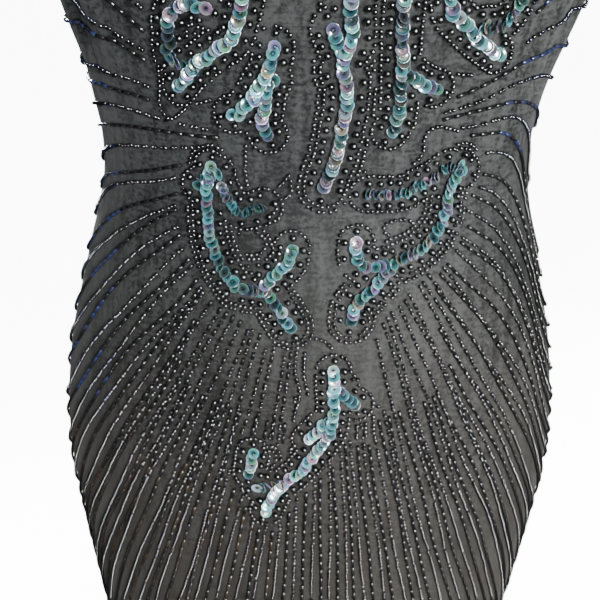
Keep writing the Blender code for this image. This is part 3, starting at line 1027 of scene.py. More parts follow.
class Tray:
    """Holds every gathering of small things, and remembers where the front's motif lies."""

    CLEAR_SHARE = 0.90      # share of two things' radii that has to stay clear

    def __init__(self, cloth: GownCloth) -> None:
        """Lays out the gatherings.

        Args:
            cloth: The gown's cloth.
        """
        self.cloth, self.sizes = cloth, Sizes()
        self.rng = np.random.default_rng(SEED)
        self.seeds = SewnOn("seed_beads_front", Template.ball(7, 4))
        self.trim_seeds = SewnOn("seed_beads_sprays", Template.ball(8, 5))
        self.plain_seeds = SewnOn("seed_beads_skirt", Template.ball(5, 3))
        self.back_seeds = SewnOn("seed_beads_back", Template.ball(5, 3))
        self.bugles = SewnOn("bugle_beads_front", Template.tube(7))
        self.plain_bugles = SewnOn("bugle_beads_skirt", Template.tube(5))
        self.rounds = SewnOn("round_beads", Template.ball(10, 7))
        self.sequins = PearlSequins("cup_sequins", Template.cup(12))
        self.taken = np.zeros((0, 3))

    def take(self, spots: np.ndarray, radius: float) -> None:
        """Remembers spots, in millimetres, as taken."""
        self.taken = np.vstack((self.taken, np.column_stack((spots, np.full(len(spots), radius)))))

    def clear(self, spots: np.ndarray, radius: float) -> np.ndarray:
        """Says which spots, in millimetres, touch nothing that is already sewn on.

        Args:
            spots: The spots as s and level.
            radius: Their radius.

        Returns:
            True where a spot is free.
        """
        if not len(self.taken) or not len(spots):
            return np.ones(len(spots), bool)
        gap = np.linalg.norm(spots[:, None, :] - self.taken[None, :, :2], axis=2)
        return np.all(gap > self.CLEAR_SHARE * (radius + self.taken[None, :, 2]), axis=1)

    def places(self, spots: np.ndarray) -> Places:
        """Finds the cloth under spots, in millimetres."""
        return self.cloth.read(spots[:, 0] * MM, spots[:, 1] * MM)

    def frames(self, spots: np.ndarray, heading: np.ndarray) -> tuple[Places, np.ndarray]:
        """Finds the cloth under some spots and the heading there.

        Args:
            spots: Places in millimetres as s and level.
            heading: Directions in the same plane.

        Returns:
            The places, and the headings as unit vectors along the cloth.
        """
        here = self.places(spots)
        along = self.places(spots + heading).points - self.places(spots - heading).points
        along -= np.sum(along * here.normals, axis=1, keepdims=True) * here.normals
        return here, along / np.maximum(np.linalg.norm(along, axis=1, keepdims=True), TINY)

    def add_beads(self, store: SewnOn, spots: np.ndarray, heading: np.ndarray, radius: float,
                  squash: float, lift: float = 0.92) -> None:
        """Sews beads on at spots.

        Args:
            store: The gathering that they join.
            spots: Places in millimetres as s and level.
            heading: Directions of the thread.
            radius: The beads' radius in metres.
            squash: Their length along the thread as a share of their width.
            lift: Height of a bead's centre over the cloth in radii.
        """
        if not len(spots):
            return
        here, along = self.frames(spots, heading)
        size = radius * (1.0 + 0.06 * self.rng.standard_normal((len(spots), 1)).clip(-2, 2))
        sizes = size * np.array([[1.0, 1.0, squash]])
        centre = here.points + here.normals * (lift * size)
        store.add(centre, along, here.normals, sizes, self.casts(spots))

    def casts(self, spots: np.ndarray) -> np.ndarray:
        """Picks the glass's cast: black at random, brown low on the right-hand side for painted warm light,
        navy at both flanks for painted cool shade.

        Args:
            spots: Where the pieces of glass lie, as s and level.

        Returns:
            A number for each, from 0 to 1.
        """
        draw = self.rng.random((2, len(spots)))
        s, level = spots[:, 0], spots[:, 1]
        # Painted warm light: brown glass low on the wearer's right.
        warm_light_painted = (level < -560.0) & (s < -20.0) & (draw[1] < 0.35)
        # Painted cool shade: navy glass at both flanks.
        cool_shade_painted = ((s > 108.0) & (level > -380.0) | (s < -128.0) & (level > -540.0)) & (draw[1] < 0.6)
        return np.where(cool_shade_painted, 0.95 + 0.05 * draw[0], np.where(warm_light_painted, 0.84 + 0.06 * draw[0], 0.78 * draw[0]))


class Lay(Enum):
    """How the sequins of a bone lie."""

    SCALES = "scales"
    EDGES = "edges"


@dataclass(frozen=True)
class Bone:
    """A line of sequins, from its first point to its last, in millimetres."""

    points: tuple
    lay: Lay = Lay.SCALES
    # Painted glare at the bone's first and last point: how far its sequins are painted as catching the light,
    # dark where painted in shade.
    gleam: tuple = (0.9, 0.9)
    wider: float = 0.0
    doubled: bool = False


SPRAYS = (
    Bone(((-34, -272), (-38, -294), (-41, -304), (-44, -311), (-54, -318), (-62, -324), (-67, -329),
          (-74, -337)), gleam=(1.0, 0.85)),
    Bone(((-57, -297), (-62, -295), (-67, -295), (-72, -298), (-76, -303), (-77, -308), (-77, -313),
          (-78, -317)), gleam=(0.55, 0.08)),
    Bone(((-78, -321), (-73, -324), (-67, -326), (-63, -326)), gleam=(0.6, 0.95)),
    Bone(((-23, -314), (-25, -324), (-30, -333), (-34, -340), (-39, -347), (-45, -349)), gleam=(1.0, 0.85)),
    Bone(((-24, -330), (-27, -336), (-28, -346), (-29, -352), (-26, -359)), gleam=(0.75, 0.45)),
    Bone(((5, -305), (9, -314)), gleam=(0.45, 0.5), wider=0.8),
    Bone(((12, -270), (13, -295), (14, -305), (14, -311), (11, -317), (11, -326), (13, -330), (13, -338),
          (13, -346), (12, -351), (11, -361), (10, -364), (9, -371), (6, -379), (4, -387)),
         gleam=(0.75, 0.35), wider=1.4, doubled=True),
    Bone(((-58, -380), (-60, -390), (-60, -402), (-59, -418), (-53, -433), (-44, -445)), gleam=(1.0, 0.55),
         doubled=True),
    Bone(((-66, -391), (-60, -386), (-54, -382)), gleam=(0.8, 1.0)),
    Bone(((-52, -390), (-46, -400), (-39, -403), (-28, -399)), Lay.EDGES, (0.55, 0.4)),
    Bone(((-13, -422), (-15, -430), (-26, -441), (-29, -446)), gleam=(0.6, 0.75)),
    Bone(((-40, -446), (-29, -447), (-22, -452), (-13, -466)), gleam=(0.2, 0.8), doubled=True),
    Bone(((84, -382), (73, -378), (64, -383), (53, -388), (46, -391), (27, -391)), Lay.EDGES, (0.5, 0.8)),
    Bone(((80, -378), (74, -392), (73, -405), (67, -416), (56, -425), (44, -430), (34, -441), (23, -453),
          (21, -462)), gleam=(0.85, 0.6), doubled=True),
    Bone(((22, -418), (23, -428), (31, -432), (39, -431)), gleam=(0.7, 0.35)),
    Bone(((37, -268), (38, -292), (38, -306), (39, -322), (40, -335), (40, -349), (37, -356)),
         gleam=(0.3, 0.3)),
    Bone(((41, -324), (49, -330), (59, -334)), gleam=(0.4, 0.75)),
    Bone(((106, -275), (101, -293), (92, -303), (81, -304), (73, -305)), gleam=(0.4, 0.55)),
    Bone(((57, -272), (61, -294), (66, -300), (78, -309), (93, -318)), gleam=(0.45, 0.6)),
    Bone(((12, -492), (12, -503), (13, -512), (12, -522), (11, -530), (7, -538), (2, -546), (-6, -557),
          (-16, -568), (-21, -575), (-26, -588)), gleam=(0.9, 1.0)),
    Bone(((9, -524), (4, -529), (-1, -535)), gleam=(0.8, 0.9)),
    Bone(((16, -504), (20, -508), (26, -513)), gleam=(0.6, 0.3)),
    Bone(((-34, -547), (-36, -561)), gleam=(1.0, 0.5)),
    Bone(((-31, -571), (-23, -568), (-17, -568)), gleam=(0.9, 1.0)),
)
# Small seed-bead figures between the sprays: closed rings, then open curves.
RINGS = (((-36, -420), (9.0, 6.6)), ((-36, -420), (11.6, 9.2)), ((46, -411), (9.0, 4.8)),
         ((-24, -550), (3.8, 6.0)), ((-24, -550), (6.6, 8.8)), ((-57, -311), (6.5, 4.5)))
SWAGS = (
    ((-38, -366), (-38, -385), (-33, -390), (-27, -391), (-20, -387), (-15, -381)),
    ((-14, -384), (-14, -391), (-20, -398), (-27, -409)),
    ((-86, -316), (-86, -336), (-87, -350), (-80, -355), (-69, -347), (-57, -343), (-49, -341)),
    ((21, -366), (22, -376), (33, -381), (44, -380), (51, -375), (56, -369), (56, -361), (62, -355),
     (76, -358)),
    ((46, -310), (51, -323), (57, -327), (67, -327), (79, -328)),
    ((-4, -472), (6, -474), (16, -484), (25, -496), (33, -507), (39, -515)),
    ((-9, -478), (-10, -492), (-7, -506), (-10, -520)), ((-4, -476), (-5, -492), (-2, -507)),
    ((17, -520), (17, -534)), ((22, -518), (22, -536)), ((27, -517), (27, -537)),
    ((32, -517), (32, -535)), ((36, -518), (37, -532)),
)
# The motif's outer line: strings start outside it.
MOTIF_EDGE = ((-88, -252), (-90, -300), (-91, -347), (-62, -353), (-50, -359), (-54, -371), (-68, -381),
              (-77, -393), (-79, -412), (-72, -428), (-60, -449), (-42, -461), (-28, -470), (-12, -478),
              (-8, -520), (14, -519), (38, -525), (42, -514), (27, -489), (22, -476), (30, -468), (42, -457),
              (56, -443), (74, -421), (88, -399), (98, -383), (94, -369), (80, -360), (64, -354), (62, -342),
              (88, -331), (108, -324), (114, -300), (116, -252))


def resample(points: Sequence[tuple], step: float) -> tuple[np.ndarray, np.ndarray]:
    """Walks a line of points at even steps on a smooth curve.

    Args:
        points: The line's points.
        step: The length of a step.

    Returns:
        Places and unit headings.
    """
    line = np.array(points, float)
    fine = np.linspace(0, len(line) - 1, 40 * len(line))
    slopes = np.gradient(line, axis=0) if len(line) > 2 else np.repeat(line[1:] - line[:1], 2, axis=0)
    i = np.minimum(fine.astype(int), len(line) - 2)
    t = (fine - i)[:, None]
    curve = ((2 * t**3 - 3 * t**2 + 1) * line[i] + (t**3 - 2 * t**2 + t) * slopes[i]
             + (3 * t**2 - 2 * t**3) * line[i + 1] + (t**3 - t**2) * slopes[i + 1])
    lengths = np.concatenate(([0.0], np.cumsum(np.linalg.norm(np.diff(curve, axis=0), axis=1))))
    count = max(1, round(lengths[-1] / step))
    stops = np.linspace(0.0, lengths[-1], count + 1)
    places = np.column_stack([np.interp(stops, lengths, curve[:, axis]) for axis in (0, 1)])
    heading = np.gradient(places, axis=0)
    return places, heading / np.linalg.norm(heading, axis=1, keepdims=True)


def off_line(points: np.ndarray, line: np.ndarray) -> np.ndarray:
    """Measures how far points are from a line of points.

    Args:
        points: Points in a plane.
        line: The line's points.

    Returns:
        The distances.
    """
    best = np.full(len(points), np.inf)
    for start, end in zip(line[:-1], line[1:]):
        way = end - start
        t = np.clip((points - start) @ way / max(way @ way, TINY), 0.0, 1.0)
        best = np.minimum(best, np.linalg.norm(points - start - t[:, None] * way, axis=1))
    return best


FILM = {"aqua": (0.034, 0.150, 0.145), "teal": (0.010, 0.040, 0.040), "lilac": (0.075, 0.068, 0.130),
        "pink": (0.110, 0.066, 0.090), "green": (0.036, 0.115, 0.078), "amber": (0.090, 0.075, 0.045),
        "white": (0.150, 0.185, 0.180)}
FILM_ORDER = ("aqua", "lilac", "aqua", "green", "teal", "white", "aqua", "pink", "green", "aqua",
              "teal", "lilac", "aqua", "amber", "aqua", "white")
# Painted shade: the colour of a sequin that catches no light.
PAINTED_SHADE_FILM = (0.0045, 0.0080, 0.0085)
# Painted highlight colour for the sequins' rims.
PAINTED_RIM_HIGHLIGHT = (0.10, 0.13, 0.14)


@dataclass
class Sprays:
    """The front's sprays: bones of sequins, round beads beside them and loops round them.

    Lengths are in millimetres. A lay is its mean tilt, the tilt's spread and the sequins' share of
    their full size.
    """

    tray: Tray
    step: float = 3.3
    edge_step: float = 2.0
    scale_lay: tuple = (33.0, 8.0, 1.0)
    edge_lay: tuple = (47.0, 5.0, 0.80)
    scale_tilts: tuple = (14.0, 50.0)
    first_tilt: float = 8.0
    roll: float = 13.0
    sequin_room: float = 3.4
    round_off: float = 6.4
    round_step: float = 6.2
    loop_off: float = 9.9
    loop_gap: float = 2.9
    swag_off: float = 5.3
    pair_steps: tuple = (2.22, 2.75)
    seed_room: float = 1.18
    missing: float = 0.03
    bones: list = field(default_factory=list)

    def sew(self) -> None:
        """Sews everything of the sprays."""
        self.bones = [resample(bone.points, 1.0)[0] for bone in SPRAYS]
        for number, bone in enumerate(SPRAYS):
            self.sew_sequins(bone, number)
        for bone in SPRAYS:
            self.sew_rounds(bone)
        for beyond, bones in ((0.0, SPRAYS), (self.loop_gap, [bone for bone in SPRAYS if bone.doubled])):
            for bone in bones:
                self.sew_loop(bone, beyond)
        for centre, radii in RINGS:
            turns = np.linspace(0.0, 2 * np.pi, 25)
            ring = [(centre[0] + radii[0] * math.cos(t), centre[1] + radii[1] * math.sin(t)) for t in turns]
            self.sew_line(resample(ring, 0.3)[0], True, self.swag_off)
        for swag in SWAGS:
            self.sew_line(resample(swag, 0.3)[0], False, self.swag_off)

    def off_bones(self, spots: np.ndarray) -> np.ndarray:
        """Gives the distance from the nearest bone."""
        return np.min([off_line(spots, bone) for bone in self.bones], axis=0)

    def sew_sequins(self, bone: Bone, number: int) -> None:
        """Sews one bone of overlapping sequins.

        Args:
            bone: The bone.
            number: Its place in the list, which shifts its colours.
        """
        tray, rng, edge = self.tray, self.tray.rng, bone.lay is Lay.EDGES
        spots, heading = resample(bone.points, self.edge_step if edge else self.step)
        count = len(spots)
        spots = spots + rng.normal(0.0, 0.45, spots.shape)
        here, along = tray.frames(spots, heading)
        mean, spread, share = self.edge_lay if edge else self.scale_lay
        tilt = rng.normal(mean, spread, count)
        tilt = np.radians(tilt if edge else tilt.clip(*self.scale_tilts))
        tilt[0] = np.radians(self.first_tilt)
        roll = np.radians(rng.normal(0.0, self.roll, count))
        across = np.cross(here.normals, along)
        axis = here.normals * np.cos(tilt)[:, None] - along * np.sin(tilt)[:, None]
        axis = axis * np.cos(roll)[:, None] + across * np.sin(roll)[:, None]
        axis /= np.linalg.norm(axis, axis=1, keepdims=True)
        radius = tray.sizes.sequin * share * rng.normal(1.0, 0.03, count)
        lift = radius * np.sin(tilt) * 0.72 + 0.5 * MM
        tints = self.film_tints(bone, number, count)
        turn = rng.uniform(0.0, 2 * np.pi, (count, 1))
        facing = along * np.cos(turn) + across * np.sin(turn)
        sizes = np.repeat(radius[:, None], 3, axis=1)
        tray.sequins.add(here.points + here.normals * lift[:, None], axis, facing, sizes, tints)
        tray.take(spots, self.sequin_room)

    def film_tints(self, bone: Bone, number: int, count: int) -> np.ndarray:
        """Picks the film colours of a bone's sequins, with painted glare and painted shade along the bone.

        Args:
            bone: The bone.
            number: Its place in the list.
            count: How many sequins it has.

        Returns:
            Rows of two film colours, the second mostly painted shade, and a painted rim highlight colour.
        """
        rng, dark, films = self.tray.rng, np.array(PAINTED_SHADE_FILM), [FILM[name] for name in FILM_ORDER]
        # Painted glare: sequins lighter or darker along the bone as if they caught the light.
        gleam = np.interp(np.linspace(0, 1, count), (0, 1), bone.gleam)
        gleam = (gleam + rng.normal(0.0, 0.16, count)).clip(0.05, 1.0)[:, None]
        picks = [films[(k * 3 + number * 5 + int(rng.integers(0, 3))) % len(films)] for k in range(count)]
        others = [films[(k + number * 3) % len(films)] for k in range(count)]
        first = gleam * np.array(picks) + (1 - gleam) * dark
        # The second colour is mostly painted shade, for the darker side of each sequin.
        second = 0.16 * first + 0.26 * (gleam * np.array(others) + (1 - gleam) * dark)
        # The third colour is the painted rim highlight, brighter where the painted glare is.
        return np.hstack((first, second, 0.6 * first + (0.22 + 0.40 * gleam) * np.array(PAINTED_RIM_HIGHLIGHT)))

    def sew_rounds(self, bone: Bone) -> None:
        """Sews round beads down both sides of a bone and at its ends.

        Args:
            bone: The bone.
        """
        tray = self.tray
        spots, heading = resample(bone.points, self.round_step)
        across = np.column_stack((-heading[:, 1], heading[:, 0]))
        off = self.round_off + bone.wider
        near = [spots + side * off * across for side in (-1, 1)]
        tips = np.array([spots[0] - heading[0] * off, spots[-1] + heading[-1] * off])
        every = np.vstack(near + [tips]) + tray.rng.normal(0.0, 0.3, (2 * len(spots) + 2, 2))
        every = every[self.off_bones(every) > self.round_off - 0.8]
        radius = tray.sizes.round / MM
        for spot in every:
            one = spot[None, :]
            if tray.clear(one, radius)[0]:
                tray.add_beads(tray.rounds, one, np.array([[1.0, 0.2]]), tray.sizes.round, 0.94, 0.95)
                tray.take(one, radius)

    def sew_loop(self, bone: Bone, beyond: float) -> None:
        """Sews the ring of seed beads that runs round a bone and its neighbours.

        Args:
            bone: The bone.
            beyond: How far outside the first ring it runs.
        """
        spots, heading = resample(bone.points, 0.6)
        across = np.column_stack((-heading[:, 1], heading[:, 0]))
        off = self.loop_off + beyond + bone.wider
        turns = np.linspace(np.pi / 2, -np.pi / 2, 50)[:, None]
        caps = [tip + off * (np.cos(turns) * way + np.sin(turns) * np.array((-way[1], way[0])))
                for tip, way in ((spots[-1], heading[-1]), (spots[0], -heading[0]))]
        ring = np.vstack((spots + off * across, caps[0], (spots - off * across)[::-1], caps[1]))
        self.sew_line(ring, True, self.loop_off + beyond - 0.25)

    def sew_line(self, fine: np.ndarray, closed: bool, off: float) -> None:
        """Sews seed beads along a line, leaving out those that would touch something.

        Args:
            fine: The line's points, close together.
            closed: Whether the line comes back to its start.
            off: The least distance from every bone.
        """
        tray = self.tray
        fine = fine[self.off_bones(fine) >= off]
        if len(fine) < 3:
            return
        kept, ways = [], []
        for k, spot in enumerate(fine):
            step = self.pair_steps[len(kept) % 2]
            if kept and np.linalg.norm(spot - kept[-1]) < step:
                continue
            if closed and kept and np.linalg.norm(spot - kept[0]) < 0.9 * step:
                continue
            ahead = fine[min(k + 3, len(fine) - 1)] - fine[max(k - 3, 0)]
            kept.append(spot)
            ways.append(ahead / max(float(np.linalg.norm(ahead)), 1e-6))
        kept, ways = np.array(kept), np.array(ways)
        kept += tray.rng.normal(0.0, 0.12, kept.shape)
        free = tray.clear(kept, self.seed_room)
        free &= tray.rng.random(len(kept)) > self.missing
        tray.add_beads(tray.trim_seeds, kept[free], ways[free], tray.sizes.trim_seed, 0.90)
        tray.take(kept[free], self.seed_room)


@dataclass
class Strand:
    """A string's way over the cloth.

    Each spot, as s and level, has its length down the string and its distance out from the rays'
    centre.
    """

    spots: np.ndarray
    lengths: np.ndarray
    out: np.ndarray
    angle: float
    bugles: bool

    def at(self, lengths: np.ndarray) -> np.ndarray:
        """Gives the spots at lengths down the string."""
        return np.column_stack([np.interp(lengths, self.lengths, self.spots[:, k]) for k in (0, 1)])


@dataclass
class Threaded:
    """Things threaded on a string: where they lie, and which of them have room."""

    middle: np.ndarray
    ends: list
    free: np.ndarray
    shown: np.ndarray
    jitter: np.ndarray


@dataclass
class RayStrings:
    """Strings of seed beads and of bugles that run out from a point above the waist.

    Lengths are in millimetres and angles in degrees, measured from straight down.
    """

    tray: Tray
    sprays: Sprays
    centre: tuple = (3.0, -360.0)
    tight_gap: float = 1.15
    wide_gap: float = 5.2
    tight_to: float = 29.0
    wide_from: float = 72.0
    widest: float = 178.0
    crowd: float = 3.3
    spread: float = 21.0
    early_start: float = 60.0
    reach: float = 1500.0
    least_spots: int = 8
    bugle_half: float = 2.95
    short_half: float = 2.1
    seed_pitch: float = 2.46
    mixed_to: float = 172.0
    shown_levels: tuple = (-745.0, -278.0)

    def angles(self) -> list[float]:
        """Lists the rays' angles, closest together straight down.

        Returns:
            The angles in degrees.
        """
        angles = [0.0]
        for side in (-1, 1):
            angle = 0.0
            while True:
                share = np.clip((angle - self.tight_to) / (self.wide_from - self.tight_to), 0.0, 1.0)
                angle += self.tight_gap + (self.wide_gap - self.tight_gap) * share
                if angle > self.widest:
                    break
                angles.append(side * angle)
        return sorted(angles)

    def droop(self, s: np.ndarray, angle: float) -> np.ndarray:
        """Gives how far a string sinks as it nears the sides.

        Args:
            s: Lengths round the cloth.
            angle: The string's angle.

        Returns:
            The drop at each place.
        """
        reach = np.arange(0.0, 700.0)
        steep = np.interp(reach, (0, 104, 163, 196, 700), (0, 0, 2.0, 0, 0))
        slack = np.interp(reach, (0, 105, 165, 210, 700), (0, 0, 0.3, 0, 0))
        left, right = (np.interp(side, reach, np.cumsum(slope)) for side, slope in ((s, steep), (-s, slack)))
        pull = np.interp(angle, (35.0, 62.0, 88.0, 96.0, 104.0, 125.0), (0.15, 0.8, 1.0, 0.55, 0.2, 0.0))
        return left * float(pull) + right

    def path(self, angle: float, start: float) -> tuple[np.ndarray, np.ndarray]:
        """Draws a ray on the flat cloth.

        Args:
            angle: The ray's angle.
            start: Its distance from the centre where it starts.

        Returns:
            Spots as s and level, and how far each is from the centre.
        """
        turn = math.radians(angle)
        out = np.arange(start, self.reach, 1.0)
        side = abs(math.sin(turn))
        phase = self.tray.rng.random(3) * 2 * np.pi
        wobble = sum((least + more * side) * np.sin(out / length + shift) for least, more, length, shift in (
            (0.5, 1.3, 41.0, phase[0]), (0.35, 0.8, 17.0, phase[1]), (0.6, 2.0, 160.0, phase[2])))
        wobble *= np.clip(out / 130.0, 0.2, 1.0)
        s = self.centre[0] + out * math.sin(turn) + wobble * math.cos(turn)
        level = self.centre[1] - out * math.cos(turn) + wobble * math.sin(turn)
        return np.column_stack((s, level - self.droop(s, angle))), out

    def sew(self) -> None:
        """Sews every string, with more between two rays where they have spread far apart."""
        angles = self.angles()
        for number, angle in enumerate(angles):
            near = angles[max(0, number - 1):number + 2]
            gap = min(abs(angle - other) for other in near if other != angle)
            late = number % 2 == 1
            self.sew_string(angle, self.crowd / math.radians(gap) if late else self.early_start, late)
            if number + 1 < len(angles):
                self.fill_between(angle, angles[number + 1])

    def fill_between(self, first: float, second: float) -> None:
        """Adds strings between two rays, starting where these are far apart.

        Args:
            first: The one ray's angle.
            second: The next ray's angle.
        """
        start = self.spread / math.radians(second - first)
        self.sew_string((first + second) / 2, start, False)
        for share in (0.25, 0.75):
            self.sew_string(first + share * (second - first), 2.0 * start, share > 0.5)

    def sew_string(self, angle: float, start: float, bugles: bool) -> None:
        """Sews one string from the motif's edge to the end of the cloth.

        Args:
            angle: The string's angle.
            start: Its least distance from the centre.
            bugles: Whether it is a string of bugles.
        """
        spots, out = self.path(angle, start)
        if not len(spots):
            return
        within = np.nonzero(inside_outline(spots, MOTIF_EDGE))[0]
        first = within[-1] + 1 if len(within) else 0
        spots, out = spots[first:], out[first:]
        if len(spots) < self.least_spots:
            return
        places = self.tray.places(spots)
        ends = np.nonzero(~places.inside)[0]
        last = ends[0] if len(ends) else len(spots)
        if last < self.least_spots:
            return
        steps = np.linalg.norm(np.diff(places.points[:last], axis=0), axis=1)
        lengths = np.concatenate(([0.0], np.cumsum(steps))) / MM
        strand = Strand(spots[:last], lengths, out[:last], angle, bugles)
        seeds, tubes, halves = self.thread(strand)
        if len(seeds):
            self.sew_seeds(strand, seeds)
        if len(tubes):
            self.sew_bugles(strand, tubes, halves)

    def thread(self, strand: Strand) -> tuple[np.ndarray, np.ndarray, np.ndarray]:
        """Lists what is threaded on a string, by its length down the string.

        Near the motif, seed beads in twos and threes take turns with short bugles; further out,
        they run on singly.

        Args:
            strand: The string's way.

        Returns:
            The seed beads' middles, the bugles' middles and the bugles' half lengths.
        """
        rng = self.tray.rng
        seeds, tubes, halves = [], [], []
        at = float(rng.uniform(0.8, 3.0))
        sideways = abs(math.sin(math.radians(strand.angle)))
        grouped_to = float(np.interp(sideways, (0.0, 0.75, 1.0), (245.0, 228.0, 116.0)))
        turn = int(rng.integers(0, 2))
        while at < strand.lengths[-1] - 3.0:
            distance = float(np.interp(at, strand.lengths, strand.out))
            if strand.bugles or (distance < self.mixed_to and turn % 2 and sideways < 0.75):
                half = self.bugle_half if strand.bugles else self.short_half
                half *= float(rng.uniform(0.95, 1.03))
                tubes.append(at + half)
                halves.append(half)
                at += 2 * half + (float(rng.uniform(0.5, 1.8)) if strand.bugles else 1.6)
            elif distance < grouped_to:
                group = 2 if rng.random() < 0.72 else 3
                seeds += [at + self.seed_pitch * (k + 0.5) for k in range(group)]
                at += group * self.seed_pitch + float(rng.uniform(1.3, 2.4))
            else:
                seeds.append(at + self.seed_pitch / 2)
                at += self.seed_pitch * (1.0 if rng.random() < 0.93 else 1.6)
            turn += 1
        return np.array(seeds), np.array(tubes), np.array(halves)

    def lay_out(self, strand: Strand, mid: np.ndarray, reach: np.ndarray) -> Threaded:
        """Lays threaded things on the cloth and finds which have room.

        Args:
            strand: The string's way.
            mid: Their middles down the string.
            reach: Their half lengths.

        Returns:
            Their places, with the cloth under both ends and the middle.
        """
        tray = self.tray
        tracks = [strand.at(mid + shift * reach) for shift in (-1.0, 0.0, 1.0)]
        middle = tracks[1]
        free = np.ones(len(mid), bool)
        close = np.nonzero((np.abs(middle[:, 0]) < 135.0) & (middle[:, 1] > -640.0))[0]
        for track in tracks if reach.any() else tracks[1:2]:
            free[close] &= tray.clear(track[close], 1.15) & (self.sprays.off_bones(track[close]) > 9.0)
        ends = [tray.places(track) for track in tracks]
        free &= ends[0].inside & ends[2].inside & (ends[0].front == ends[2].front)
        free &= ~(ends[0].by_seam | ends[1].by_seam | ends[2].by_seam)
        low, high = self.shown_levels
        shown = ends[1].front & (middle[:, 1] > low) & (middle[:, 1] < high)
        return Threaded(middle, ends, free, shown, tray.rng.normal(0.0, 0.13, middle.shape))

    def sew_seeds(self, strand: Strand, mid: np.ndarray) -> None:
        """Sews a string's seed beads, which lie at lengths down it.

        Args:
            strand: The string's way.
            mid: Their middles down the string.
        """
        tray, row = self.tray, self.lay_out(strand, mid, np.zeros(len(mid)))
        heading = strand.at(mid + 1.0) - row.middle
        heading /= np.maximum(np.linalg.norm(heading, axis=1, keepdims=True), 1e-6)
        front, spots = row.ends[1].front, row.middle + row.jitter
        for store, mask in ((tray.seeds, row.shown), (tray.plain_seeds, ~row.shown & front),
                            (tray.back_seeds, ~front)):
            pick = row.free & mask
            tray.add_beads(store, spots[pick], heading[pick], tray.sizes.seed, tray.sizes.seed_squash)

    def sew_bugles(self, strand: Strand, mid: np.ndarray, half: np.ndarray) -> None:
        """Sews a string's bugles.

        Args:
            strand: The string's way.
            mid: Their middles down the string.
            half: Their half lengths.
        """
        tray, row = self.tray, self.lay_out(strand, mid, half)
        before, here, after = row.ends
        chord = after.points - before.points
        chord += tray.rng.normal(0.0, 0.035, (len(mid), 1)) * np.cross(here.normals, chord)
        length = np.linalg.norm(chord, axis=1, keepdims=True)
        axis = chord / np.maximum(length, TINY)
        wide = tray.sizes.bugle
        centre = here.points + here.normals * (0.95 * wide)
        sizes = np.hstack((np.full((len(mid), 2), wide), length / 2))
        tints = tray.casts(row.middle)
        for store, mask in ((tray.bugles, row.shown), (tray.plain_bugles, ~row.shown)):
            pick = row.free & mask
            store.add(centre[pick], axis[pick], here.normals[pick], sizes[pick], tints[pick])


def inside_outline(points: np.ndarray, outline: Sequence[tuple]) -> np.ndarray:
    """Says which points lie inside a closed outline.

    Args:
        points: The points.
        outline: Its corners in order.

    Returns:
        True for each point inside.
    """
    inside = np.zeros(len(points), bool)
    x, y = points[:, 0], points[:, 1]
    for (x0, y0), (x1, y1) in zip(outline, outline[1:] + outline[:1]):
        crosses = (y0 > y) != (y1 > y)
        slope = (x1 - x0) / (y1 - y0) if y1 != y0 else 0.0
        inside ^= crosses & (x < x0 + (y - y0) * slope)
    return inside


def sew_beading(cloth: GownCloth) -> list[bpy.types.Object]:
    """Sews everything on, from the sprays to the last string, and joins it to pieces.

    Args:
        cloth: The gown's cloth.

    Returns:
        The pieces.
    """
    tray = Tray(cloth)
    sprays = Sprays(tray)
    sprays.sew()
    RayStrings(tray, sprays).sew()
    jet = JetFinish("jet_seed").material()
    glass = JetFinish("jet_bugle", 0.22, 1.50, 2.6).material()
    pieces = [store.build(jet, "beads") for store in
              (tray.seeds, tray.trim_seeds, tray.plain_seeds, tray.back_seeds, tray.rounds)]
    pieces += [store.build(glass, "beads") for store in (tray.bugles, tray.plain_bugles)]
    return pieces + [tray.sequins.build(SequinFinish().material(), "sequins", "film")]


